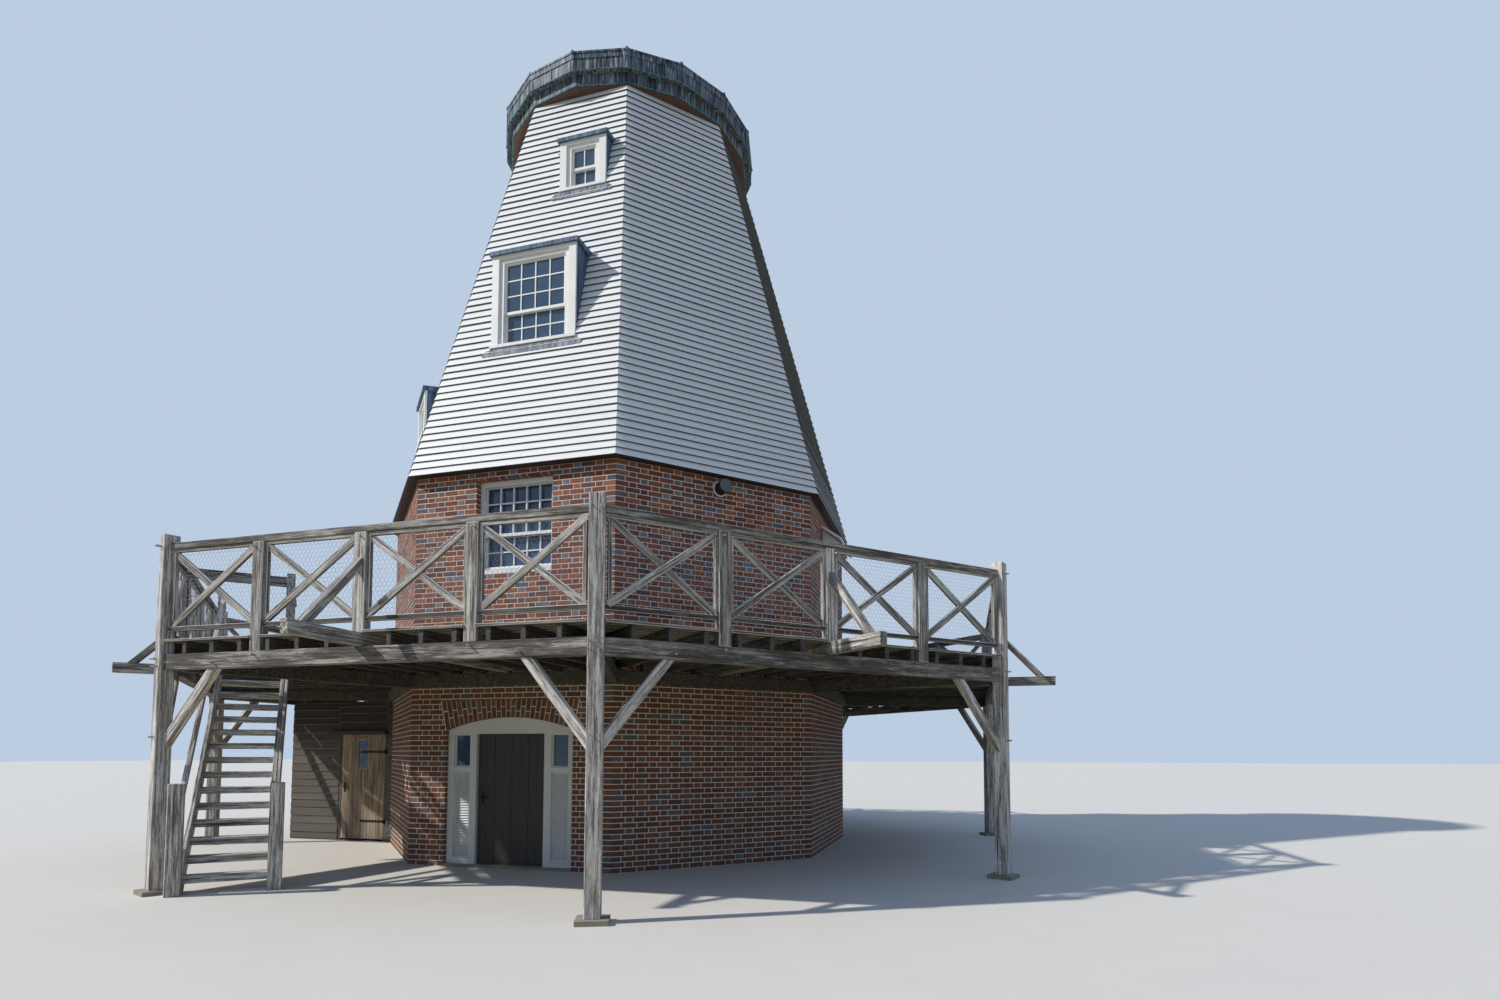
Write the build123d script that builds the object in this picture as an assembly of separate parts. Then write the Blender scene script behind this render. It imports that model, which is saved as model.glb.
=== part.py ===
"""Smock mill kept as a house: brick base, boarded smock, lead-clad cap ring and a
railed stage on posts, with a boarded store and a stair under the stage.

Millimetres. The origin is on the ground on the mill's own axis and +Z is up.
The side with the arched doorway faces -Y and is called south here.
Every side is drawn as the south side and turned about the axis into its place.
"""
from build123d import *
from math import cos, sin, tan, radians, hypot
import os

os.makedirs("parts", exist_ok=True)

# Octagon: eight sides, each named by the way it faces, with its turn from the south side
SIDES = 8
STEP = 360 / SIDES
HALF = STEP / 2
NAMES = ["south", "south_east", "east", "north_east", "north", "north_west", "west", "south_west"]
TURN = {name: i * STEP for i, name in enumerate(NAMES)}
MITRE = tan(radians(HALF))          # half the side length of an octagon of apothem 1
CORNER = 1 / cos(radians(HALF))     # corner radius of an octagon of apothem 1

# Brick base
BASE_AP = 3900                      # axis to the outer face of a side
BASE_T = 450                        # wall thickness
BASE_H = 5700

# Smock: boarded timber frame that leans in and hangs a little over the brick
SMOCK_HANG = 120
SMOCK_FOOT_AP = BASE_AP + SMOCK_HANG
SMOCK_TOP_AP = 2079
SMOCK_H = 7202
SMOCK_T = 260
CANT_W = 200                        # width of a corner post of the frame

# Cap: a low lead roof on a sixteen-sided ring
CAP_SIDES = 16
CURB_R = SMOCK_TOP_AP * CORNER + 40  # corner radius of the lower lead skirt
CURB_H = 190
CURB_T = 330
FASCIA_R = CURB_R + 95              # corner radius of the upper lead band
FASCIA_H = 290
ROOF_RISE = 420
ROOF_LIP = 25                       # how far the roof edge hangs over the band
ROOF_EDGE = 35                      # thickness of the roof at its edge
ROLL_R = 28                         # lead roll over each hip
CROWN_R = 210                       # flat crown where the rolls meet

# Stage: octagonal gallery on eight posts
STAGE_AP = BASE_AP + 2780           # axis to the middle line of the posts on a side
POST = 160
PAD = 320                           # pad stone under each post
PAD_H = 50
BEAM_W = 130
BEAM_D = 178
BEAM_TOP = 2752
JOIST_W = 57
JOIST_D = 145
JOIST_PITCH = 400
DECK_T = 28
DECK_LIP = 25                       # deck edge beyond the beam
DECK_MITRE_GAP = 6                  # open joint where two sides of the deck meet
DECK_WALL_GAP = 6
DECK_TOP = BEAM_TOP + JOIST_D + DECK_T
RAIL_TOP = DECK_TOP + 1140
POST_TOP = RAIL_TOP + 100
RAIL_W = 95
RAIL_H = 80
BAYS = 4                            # bays of railing on one side
BAY_POST = 145
BAY_POST_D = 110
STRIP = 36                          # slender frame inside each bay
STRIP_D = 50
LOW_RAIL_H = 52
LOW_RAIL_RISE = 100                 # clear height under the lower rail
CROSS_W = 72
CROSS_D = 44
KNEE_DOWN = 830                     # leg of a knee brace down the post
KNEE_ALONG = 670                    # its leg along the beam
KNEE_W = 100
KNEE_D = 90
KNEE_OVERRUN = 0.2                  # how far a brace is drawn past each end, as a share, before its cut
ARM_REACH = 980                     # outrigger beyond the beam's middle line
ARM_W = 95
STRUT_W = 85
STRUT_TOP = DECK_TOP + 725
STRUT_FOOT = 760                    # foot of the strut out from the beam's middle line
HIP_W = 120
PLATE_W = 90                        # wall plate that carries the inner ends of the joists

# Floors inside
FLOOR_T = 180
GROUND_T = 40
LOWER_FLOOR = BASE_H + 1250
UPPER_FLOOR = BASE_H + 4050

# Windows in the brick
SASH_W = 1240
SASH_X = 25
SASH_HEAD = BASE_H - 115
SASH_SILL = SASH_HEAD - 1395
SASH_SET = 100                      # frame set back from the brick face
SASH_D = 110
SASH_FRAME = 60
SASH_RAIL = SASH_SILL + 580         # foot of the meeting rail
MEETING_H = 45                      # height of every meeting rail
SILL_H = 70

# Box windows that stand upright out of the leaning smock: width, sill, head, offset
MIDDLE_BOX = (1430, BASE_H + 2100, BASE_H + 3570, 0)
UPPER_BOX = (820, BASE_H + 5045, BASE_H + 5890, 370)
SIDE_BOX = (900, BASE_H + 1170, BASE_H + 1910, 0)
CHEEK_T = 55
CASING_W = 115
CASING_HEAD = 55
CASING_T = 35
BOX_PROUD = 12
BOX_ROOF_LIP = 35
BOX_ROOF_T = 65
BOX_ROOF_RISE = 32                  # rise of the roof from its front edge to the boards
BOX_REVEAL = 45                     # casing's face to the frame behind it
BOX_SASH_D = 120
BOX_SASH_SET = 85                   # casing's face to the meeting rail
BOX_STILE = 115                     # frame and sash together, at a side, at the top and at the foot
BOX_TOP_RAIL = 100
BOX_FOOT_RAIL = 42
BOX_MEETING = 0.37                  # height of the meeting rail, as a share of the window
GLASS_T = 6

# Main doorway: one door between two side lights, under a segmental arch with a flat top
DOOR_HALF = 1020                    # half the width of the opening
DOOR_SPRING = 1955
DOOR_CROWN = 2130
ARCH_TOP = 2375
ARCH_SKEW = 92                      # how far each skewback leans out
FRAME_SET = 60
FRAME_D = 100
JAMB = 100
MULLION_IN = 545                    # axis to the near face of a mullion
MULLION = 110
HEAD_RAIL = 60
SILL_BAR = 1420                     # glass above this bar, slats below
LEAF_GAP = 5
LEAF_T = 50
HANDLE_Z = 985
LATCH_IN = 85                       # edge of the opening to the middle of the latch
FOOT_RAIL = 85
SLAT_PANEL_T = 24

# Stage doors, one on each side of the mill
STAGE_DOOR_W = 960
STAGE_DOOR_HEAD = BASE_H - 525
STAGE_DOOR_FRAME = 70
HOOD_OUT = 340
HOOD_T = 50
HOOD_DROP = 240                     # fall of the hood from the wall to its front edge
HOOD_TOP = BASE_H - 170
HOOD_W = 1300
BRACKET_T = 60

FLUE_R = 97
FLUE_OUT = 200
FLUE_RING_R = 115
FLUE_RING_T = 14
FLUE_Z = BASE_H - 160

# Stair beside the south-west side, inside the beam
TREADS = 14
STAIR_W = 930
GOING = 240
TREAD_T = 85
TREAD_D = 215
STRING_T = 50
STRING_D = 300
STRING_DROP = 70                    # middle of the string below the line through the nosings
NEWEL = 150
NEWEL_H = 1265
STAIR_FACE = STAGE_AP - 225         # axis to the outer string, along the side's normal
STAIR_START = STAGE_AP * MITRE + 163  # first nosing along the side, east of its middle
STRING_FOOT = 60                    # string in front of the first nosing
STAIR_RAIL_D = 95
STAIR_RAIL_Z = 1190                 # middle of the sloping rail where it meets the newel
WELL_START = STAIR_START - 1180     # where the opening in the deck starts
GUARD_POST = 100
GUARD_TOP = DECK_TOP + 1125
GUARD_RAIL = 70

# Store under the west part of the stage
STORE_X = -BASE_AP - 2250           # outer face of the far wall
STORE_FACE = -BASE_AP * MITRE       # outer face of the wall with the plank door
STORE_T = 90
STORE_ROOF_T = 24
STORE_TOP = BEAM_TOP - BEAM_D - STORE_ROOF_T
STORE_DOOR_X1 = -BASE_AP - 145
STORE_DOOR_X0 = STORE_DOOR_X1 - 965
STORE_DOOR_H = 1970
STORE_FRAME = 55
STORE_LEAF_T = 42
STORE_SILL = 40
LINTEL_OUT = 95
LINTEL_H = 60
LINTEL_OVERHANG = 250               # how far the lintel runs on at the latch side

# Strap hinges: an eye on the leaf turns on a pin that a plate on the frame carries
PIN_R = 7
EYE_GAP = 0.3
EYE_R = 12
EYE_H = 36
PIN_OUT = 26                        # from the frame's face to the middle of the pin
PIN_IN = 12                         # from the edge of the opening to the middle of the pin
PLATE_T = 5
PLATE_H = 90
STRAP_W = 42
STRAP_L = 520
HINGE_LOW = 0.17                    # heights of the two hinges, as shares of the leaf
HINGE_HIGH = 0.83

# Lever latch: a plate on the leaf, a short stem and the lever
LATCH_PLATE_W = 40
LATCH_PLATE_H = 170
LATCH_PLATE_T = 6
STEM_R = 9
STEM_L = 50
LEVER_OUT = 40                      # from the leaf's face to the back of the lever
LEVER_T = 14
LEVER_H = 18
LEVER_L = 110


def block(x0, x1, y0, y1, z0, z1):
    """A plain box between two corners."""
    middle = ((x0 + x1) / 2, (y0 + y1) / 2, (z0 + z1) / 2)
    return Pos(*middle) * Box(abs(x1 - x0), abs(y1 - y0), abs(z1 - z0))


def slab(points, z0, z1):
    """A plan outline raised from z0 to z1."""
    return extrude(Pos(0, 0, z0) * Polygon(*points, align=None), z1 - z0, dir=(0, 0, 1))


def side_profile(points, x0, x1):
    """An outline in (y, z) carried along the side from x0 to x1."""
    face = Plane.YZ.offset(x0) * Polygon(*points, align=None)
    return extrude(face, x1 - x0, dir=(1, 0, 0))


def front_profile(points, y0, y1):
    """An outline in (x, z), seen from the front, carried inwards from y0 to y1."""
    face = Plane.XZ.offset(-y0) * Polygon(*points, align=None)
    return extrude(face, y1 - y0, dir=(0, 1, 0))


def bar(start, end, width, depth, outward=(0, -1, 0)):
    """A straight timber from start to end: width across the face, depth along outward."""
    a, b = Vector(*start), Vector(*end)
    z_dir = (b - a).normalized()
    x_dir = Vector(*outward).cross(z_dir).normalized()
    section = Plane(origin=a, x_dir=x_dir, z_dir=z_dir) * Rectangle(width, depth)
    return extrude(section, (b - a).length)


def turned(shape, side):
    """The south side's piece, turned into another side's place."""
    return Rot(0, 0, TURN[side]) * shape


def ring_points(count, radius, first=0.0):
    """Corners of a regular outline; first turns the first one from south, in steps of a side."""
    angles = [radians(-90 + (i + first) * 360 / count) for i in range(count)]
    return [(radius * cos(a), radius * sin(a)) for a in angles]


def save(name, *shapes):
    """Write one node, which may hold several solids that do not touch."""
    solids = [s for shape in shapes for s in shape.solids()]
    export_step(solids[0] if len(solids) == 1 else Compound(solids), f"parts/{name}.step")


def sector(reach, cut_back=0):
    """Everything between the two mitre planes of the south side, from the axis outwards."""
    tip = cut_back / sin(radians(HALF))
    return slab([(0, -tip), (-(reach - tip) * MITRE, -reach), ((reach - tip) * MITRE, -reach)],
                -BASE_H, 3 * (BASE_H + SMOCK_H))


# Brick base
def base_wall():
    outer, inner = BASE_AP, BASE_AP - BASE_T
    return slab([(-outer * MITRE, -outer), (outer * MITRE, -outer),
                 (inner * MITRE, -inner), (-inner * MITRE, -inner)], 0, BASE_H)


def sash_hole():
    return block(SASH_X - SASH_W / 2, SASH_X + SASH_W / 2,
                 -BASE_AP - 1, -BASE_AP + BASE_T + 1, SASH_SILL, SASH_HEAD)


def stage_door_hole():
    return block(-STAGE_DOOR_W / 2, STAGE_DOOR_W / 2, -BASE_AP - 1, -BASE_AP + BASE_T + 1,
                 DECK_TOP, STAGE_DOOR_HEAD)


def arch_outline(crown, spring, half, top, skew):
    """Segmental soffit, leaning skewbacks and a flat top, as a face seen from the front."""
    soffit = ThreePointArc((-half, spring), (0, crown), (half, spring))
    rest = Polyline((half, spring), (half + skew, top), (-half - skew, top), (-half, spring))
    return make_face(soffit + rest)


def arch_ring():
    face = Plane.XZ.offset(BASE_AP) * arch_outline(DOOR_CROWN, DOOR_SPRING, DOOR_HALF,
                                                   ARCH_TOP, ARCH_SKEW)
    return extrude(face, BASE_T, dir=(0, 1, 0))


def arch_seat():
    """The gap that the arch fills in the wall above the doorway."""
    return front_profile([(-DOOR_HALF, DOOR_SPRING), (DOOR_HALF, DOOR_SPRING),
                          (DOOR_HALF + ARCH_SKEW, ARCH_TOP), (-DOOR_HALF - ARCH_SKEW, ARCH_TOP)],
                         -BASE_AP - 1, -BASE_AP + BASE_T + 1)


def make_base():
    whole = base_wall()
    piers = whole & block(-BASE_AP, BASE_AP, -BASE_AP, 0, 0, DOOR_SPRING)
    doorway = block(-DOOR_HALF, DOOR_HALF, -BASE_AP - 1, 0, -1, DOOR_SPRING + 1)
    save("base_front_piers", piers - doorway)
    over = whole & block(-BASE_AP, BASE_AP, -BASE_AP, 0, DOOR_SPRING, BASE_H)
    save("base_front_over_door", over - arch_seat() - sash_hole())
    save("door_arch", arch_ring())
    save("base_walls_plain", *[turned(whole, s) for s in NAMES[1::2]])
    with_door = whole - stage_door_hole()
    save("base_walls_with_stage_doors", turned(with_door, "east"), turned(with_door, "west"))
    save("base_wall_north", turned(whole - sash_hole(), "north"))


# Smock
def smock_ap(z):
    """Axis to the boarded face at height z."""
    return SMOCK_FOOT_AP - (z - BASE_H) * (SMOCK_FOOT_AP - SMOCK_TOP_AP) / SMOCK_H


def smock_top():
    return BASE_H + SMOCK_H


def smock_shell():
    """The leaning wall of the south side, from mitre to mitre."""
    wall = side_profile([(-SMOCK_FOOT_AP, BASE_H), (-SMOCK_TOP_AP, smock_top()),
                         (-SMOCK_TOP_AP + SMOCK_T, smock_top()), (-SMOCK_FOOT_AP + SMOCK_T, BASE_H)],
                        -SMOCK_FOOT_AP, SMOCK_FOOT_AP)
    return wall & sector(2 * SMOCK_FOOT_AP)


def smock_panel():
    return smock_shell() & sector(2 * SMOCK_FOOT_AP, CANT_W / 2)


def cant_post():
    """The corner post at the east end of the south side, half from each of its sides."""
    leftover = smock_shell() - smock_panel()
    half = leftover.solids().sort_by(Axis.X)[-1]
    corner_plane = Plane(origin=(0, 0, 0), z_dir=Vector(cos(radians(HALF)), sin(radians(HALF)), 0))
    return half + mirror(half, about=corner_plane)


def box_hole(box):
    width, sill, head, x = box
    return block(x - width / 2, x + width / 2, -SMOCK_FOOT_AP - 1, 0, sill, head)


def make_smock():
    panel = smock_panel()
    with_two = panel - box_hole(MIDDLE_BOX) - box_hole(UPPER_BOX)
    with_one = panel - box_hole(SIDE_BOX)
    save("smock_walls_plain", *[turned(panel, s) for s in ("south_east", "east", "west", "north_west")])
    save("smock_walls_with_windows", turned(with_two, "south"), turned(with_two, "north"),
         turned(with_one, "south_west"), turned(with_one, "north_east"))
    post = cant_post()
    save("smock_cant_posts", *[turned(post, s) for s in NAMES])


# Box windows
def box_front(box):
    """Distance from the axis to the upright front of a box window."""
    return smock_ap(box[1]) + BOX_PROUD


def behind_smock(offset):
    """Everything further in than a plane parallel to the boarding, offset inwards."""
    low, high = BASE_H, smock_top()
    return side_profile([(-smock_ap(low) + offset, low), (-smock_ap(high) + offset, high),
                         (0, high), (0, low)], -SMOCK_FOOT_AP, SMOCK_FOOT_AP)


def window_box(box):
    """Lead-clad cheeks, sill and roof of one box window, open right through."""
    width, sill, head, x = box
    front = box_front(box)
    tube = block(x - width / 2, x + width / 2, -front + CASING_T, 0, sill, head)
    room = block(x - width / 2 + CHEEK_T, x + width / 2 - CHEEK_T, -front, 1,
                 sill + CHEEK_T, head - CHEEK_T)
    tube = tube - room - behind_smock(SMOCK_T)
    lip = BOX_ROOF_LIP
    back_z = head + BOX_ROOF_T + BOX_ROOF_RISE
    roof = side_profile([(-front - lip, head), (-front - lip, head + BOX_ROOF_T),
                         (-smock_ap(back_z), back_z), (0, back_z), (0, head)],
                        x - width / 2 - lip, x + width / 2 + lip)
    return tube + (roof - behind_smock(0))


def window_casing(box):
    """White boards round the front of a box window, and behind them the sashes in their frame."""
    width, sill, head, x = box
    front = -box_front(box)
    back = front + CASING_T + BOX_SASH_D
    half = width / 2 - CASING_W
    casing = block(x - width / 2, x + width / 2, front, front + CASING_T, sill, head)
    sashes = block(x - width / 2 + CHEEK_T, x + width / 2 - CHEEK_T, front + CASING_T, back,
                   sill + CHEEK_T, head - CHEEK_T)
    opening = block(x - half, x + half, front - 1, front + BOX_REVEAL, sill + SILL_H, head - CASING_HEAD)
    light = block(x - half + BOX_STILE, x + half - BOX_STILE, front - 1, back + 1,
                  sill + SILL_H + BOX_FOOT_RAIL, head - CASING_HEAD - BOX_TOP_RAIL)
    rail_z = sill + (head - sill) * BOX_MEETING
    rail = block(x - half, x + half, front + BOX_SASH_SET, back, rail_z, rail_z + MEETING_H)
    return casing + sashes - opening - light + rail


def window_glass(box):
    width, sill, head, x = box
    back = -box_front(box) + CASING_T + BOX_SASH_D
    return block(x - width / 2 + CHEEK_T, x + width / 2 - CHEEK_T, back, back + GLASS_T,
                 sill + CHEEK_T, head - CHEEK_T)


def make_box_windows():
    places = [(MIDDLE_BOX, "south"), (MIDDLE_BOX, "north"), (UPPER_BOX, "south"),
              (UPPER_BOX, "north"), (SIDE_BOX, "south_west"), (SIDE_BOX, "north_east")]
    save("window_boxes", *[turned(window_box(b), s) for b, s in places])
    save("window_casings", *[turned(window_casing(b), s) for b, s in places])
    save("window_box_glass", *[turned(window_glass(b), s) for b, s in places])


def sash_window():
    """Frame, sill and meeting rail of a window in the brick."""
    x0, x1 = SASH_X - SASH_W / 2, SASH_X + SASH_W / 2
    y0 = -BASE_AP + SASH_SET
    frame = block(x0, x1, y0, y0 + SASH_D, SASH_SILL + SILL_H, SASH_HEAD)
    frame -= block(x0 + SASH_FRAME, x1 - SASH_FRAME, y0 - 1, y0 + SASH_D + 1,
                   SASH_SILL + SILL_H + SASH_FRAME, SASH_HEAD - SASH_FRAME)
    rail = block(x0, x1, y0 + SASH_FRAME / 2, y0 + SASH_D, SASH_RAIL, SASH_RAIL + MEETING_H)
    sill = block(x0, x1, -BASE_AP, y0 + SASH_D, SASH_SILL, SASH_SILL + SILL_H)
    return frame + rail + sill


def sash_glass():
    y0 = -BASE_AP + SASH_SET + SASH_D
    return block(SASH_X - SASH_W / 2, SASH_X + SASH_W / 2, y0, y0 + GLASS_T,
                 SASH_SILL + SILL_H, SASH_HEAD)


def make_sash_windows():
    save("sash_windows", turned(sash_window(), "south"), turned(sash_window(), "north"))
    panes = [turned(sash_glass(), s) for s in ("south", "north")]
    save("lower_window_glass", *panes, *side_light_panes())


# Cap
def cap_ring(radius, inner, z0, z1):
    return slab(ring_points(CAP_SIDES, radius), z0, z1) - slab(ring_points(CAP_SIDES, inner), z0 - 1, z1 + 1)


def flat_sided(faces):
    """A solid from its flat faces, each given by its corners."""
    return Solid(Shell([Face(Polyline(*corners, close=True)) for corners in faces]))


def at_height(points, z):
    return [(x, y, z) for x, y in points]


def roof_roll(foot_z, top_z):
    """Lead roll over the hip that runs out to the east."""
    start, end = Vector(FASCIA_R + ROOF_LIP, 0, foot_z), Vector(CROWN_R - ROLL_R, 0, top_z)
    section = Plane(origin=start, z_dir=(end - start).normalized()) * Circle(ROLL_R)
    return extrude(section, (end - start).length)


def cap_roof(z0):
    """Low sixteen-sided lead roof with a roll on every hip and a flat crown in the middle."""
    edge, crown = ring_points(CAP_SIDES, FASCIA_R + ROOF_LIP), ring_points(CAP_SIDES, CROWN_R)
    rims = [at_height(edge, z0), at_height(edge, z0 + ROOF_EDGE),
            at_height(crown, z0 + ROOF_EDGE + ROOF_RISE)]
    faces = [rims[0], rims[2]]
    for low, high in zip(rims, rims[1:]):
        for i in range(CAP_SIDES):
            j = (i + 1) % CAP_SIDES
            faces.append([low[i], low[j], high[j], high[i]])
    roof = flat_sided(faces)
    roll = roof_roll(z0 + ROOF_EDGE, z0 + ROOF_EDGE + ROOF_RISE) & slab(edge, z0, z0 + 2 * ROOF_RISE)
    rolls = [Rot(0, 0, i * 360 / CAP_SIDES) * roll for i in range(CAP_SIDES)]
    top = Pos(0, 0, z0 + ROOF_EDGE + ROOF_RISE) * Cylinder(CROWN_R, 2 * ROLL_R)
    return roof + rolls + top


def make_cap():
    z0 = smock_top()
    save("cap_skirt", cap_ring(CURB_R, CURB_R - CURB_T, z0, z0 + CURB_H))
    save("cap_band", cap_ring(FASCIA_R, CURB_R - CURB_T, z0 + CURB_H, z0 + CURB_H + FASCIA_H))
    save("cap_roof", cap_roof(z0 + CURB_H + FASCIA_H))


# Floors
def floor_plate(apothem, top, thick):
    return slab(ring_points(SIDES, apothem * CORNER, 0.5), top - thick, top)


def make_floors():
    save("ground_floor", floor_plate(BASE_AP - BASE_T, GROUND_T, GROUND_T))
    smock_floors = [floor_plate(smock_ap(top) - SMOCK_T, top, FLOOR_T) for top in (LOWER_FLOOR, UPPER_FLOOR)]
    save("upper_floors", floor_plate(BASE_AP - BASE_T, DECK_TOP, FLOOR_T), *smock_floors)
    save("doorway_sill", block(-DOOR_HALF, DOOR_HALF, -BASE_AP, -BASE_AP + BASE_T, 0, GROUND_T))


# Main doorway
def side_lights():
    """Left and right edges of the two side lights."""
    spans = [(s * (MULLION_IN + MULLION), s * (DOOR_HALF - JAMB)) for s in (-1, 1)]
    return [sorted(span) for span in spans]


def doorway_frame():
    """Jambs, mullions and the solid segmental head of the main doorway, as one frame."""
    y0, y1 = -BASE_AP + FRAME_SET, -BASE_AP + FRAME_SET + FRAME_D
    top = DOOR_SPRING - HEAD_RAIL
    outline = arch_outline(DOOR_CROWN, DOOR_SPRING, DOOR_HALF, top, 0)
    frame = extrude(Plane.XZ.offset(-y0) * outline, FRAME_D, dir=(0, 1, 0))
    for s in (-1, 1):
        frame += block(s * (DOOR_HALF - JAMB), s * DOOR_HALF, y0, y1, GROUND_T, top)
        frame += block(s * MULLION_IN, s * (MULLION_IN + MULLION), y0, y1, GROUND_T, top)
    for x0, x1 in side_lights():
        frame += block(x0, x1, y0, y1, SILL_BAR - HEAD_RAIL, SILL_BAR)
        frame += block(x0, x1, y0, y1, GROUND_T, GROUND_T + FOOT_RAIL)
    return frame


def side_light_panes():
    y0 = -BASE_AP + FRAME_SET + FRAME_D / 2
    return [block(x0, x1, y0, y0 + GLASS_T, SILL_BAR, DOOR_SPRING - HEAD_RAIL) for x0, x1 in side_lights()]


def make_main_door():
    save("main_door_frame", doorway_frame())
    y0 = -BASE_AP + FRAME_SET + FRAME_D / 2
    z0, z1 = GROUND_T + FOOT_RAIL, SILL_BAR - HEAD_RAIL
    save("side_light_slats", *[block(x0, x1, y0, y0 + SLAT_PANEL_T, z0, z1) for x0, x1 in side_lights()])
    face = -BASE_AP + FRAME_SET + FRAME_D
    z0, z1 = GROUND_T + LEAF_GAP, DOOR_SPRING - HEAD_RAIL - LEAF_GAP
    save("main_door", block(-MULLION_IN + LEAF_GAP, MULLION_IN - LEAF_GAP, face - LEAF_T, face, z0, z1))
    pin_x = MULLION_IN + PIN_IN
    heights = hinge_heights(z0, z1)
    save("main_door_pins", *[pintle(pin_x, face, z, 1) for z in heights])
    knob = handle(-MULLION_IN + LATCH_IN, face - LEAF_T, HANDLE_Z, -1)
    save("main_door_ironwork", *[strap(pin_x, face, z, 1) for z in heights], knob)


# Stage doors
def stage_door_frame():
    half = STAGE_DOOR_W / 2
    y0 = -BASE_AP + SASH_SET
    frame = block(-half, half, y0, y0 + SASH_D, DECK_TOP, STAGE_DOOR_HEAD)
    return frame - block(-half + STAGE_DOOR_FRAME, half - STAGE_DOOR_FRAME, y0 - 1, y0 + SASH_D + 1,
                         DECK_TOP - 1, STAGE_DOOR_HEAD - STAGE_DOOR_FRAME)


def stage_door():
    half = STAGE_DOOR_W / 2 - STAGE_DOOR_FRAME
    y0 = -BASE_AP + SASH_SET + SASH_D / 2
    return block(-half, half, y0, y0 + LEAF_T, DECK_TOP, STAGE_DOOR_HEAD - STAGE_DOOR_FRAME)


def door_hood():
    """Sloping board over a stage door on two bracketed cheeks."""
    out, front = -BASE_AP - HOOD_OUT, HOOD_TOP - HOOD_DROP
    board = side_profile([(out, front - HOOD_T), (out, front), (-BASE_AP, HOOD_TOP),
                          (-BASE_AP, HOOD_TOP - HOOD_T)], -HOOD_W / 2, HOOD_W / 2)
    inset = (HOOD_W - STAGE_DOOR_W) / 2
    for x in (-HOOD_W / 2 + inset - BRACKET_T, HOOD_W / 2 - inset):
        board += side_profile([(out + BRACKET_T, front - HOOD_T), (-BASE_AP, HOOD_TOP - HOOD_T),
                               (-BASE_AP, front - HOOD_OUT), (-BASE_AP - BRACKET_T, front - HOOD_OUT)],
                              x, x + BRACKET_T)
    return board


def wall_flue():
    """Black round flue end with a pale ring, high in the south-east wall."""
    y = -BASE_AP - FLUE_OUT / 2
    tube = Pos(0, y, FLUE_Z) * Rot(90, 0, 0) * Cylinder(FLUE_R, FLUE_OUT)
    ring = Pos(0, -BASE_AP - FLUE_RING_T / 2, FLUE_Z) * Rot(90, 0, 0) * Cylinder(FLUE_RING_R, FLUE_RING_T)
    return tube + ring


def make_stage_doors():
    for name, piece in (("stage_door_frames", stage_door_frame()), ("stage_doors", stage_door()),
                        ("stage_door_hoods", door_hood())):
        save(name, turned(piece, "east"), turned(piece, "west"))
    save("wall_flue", turned(wall_flue(), "south_east"))


# Stage
def corner_place(radius):
    """Turn and shift of the corner between the south and south-east sides."""
    return Rot(0, 0, HALF) * Pos(0, -radius, 0)


def corner_post():
    r = STAGE_AP * CORNER
    return corner_place(r) * block(-POST / 2, POST / 2, -POST / 2, POST / 2, PAD_H, POST_TOP)


def post_end():
    """Where a corner post's side face crosses the middle line of the side's beam."""
    centre = STAGE_AP * MITRE
    return centre - POST / 2 / cos(radians(HALF))


def between_posts(shape):
    """Trim a piece of the south side against its two corner posts."""
    grown = corner_place(STAGE_AP * CORNER) * block(-POST / 2, 4 * POST, -4 * POST, 4 * POST, 0, POST_TOP + 1)
    return shape - grown - mirror(grown, about=Plane.YZ)


def perimeter_beam():
    reach = STAGE_AP * MITRE
    return between_posts(block(-reach, reach, -STAGE_AP - BEAM_W / 2, -STAGE_AP + BEAM_W / 2,
                               BEAM_TOP - BEAM_D, BEAM_TOP))


def hand_rail():
    reach = STAGE_AP * MITRE
    return between_posts(block(-reach, reach, -STAGE_AP - RAIL_W / 2, -STAGE_AP + RAIL_W / 2,
                               RAIL_TOP - RAIL_H, RAIL_TOP))


def bay_post_centres():
    pitch = 2 * STAGE_AP * MITRE / BAYS
    return [(i - BAYS / 2) * pitch for i in range(1, BAYS)]


def bay_post_face():
    return -STAGE_AP - BEAM_W / 2


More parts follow.
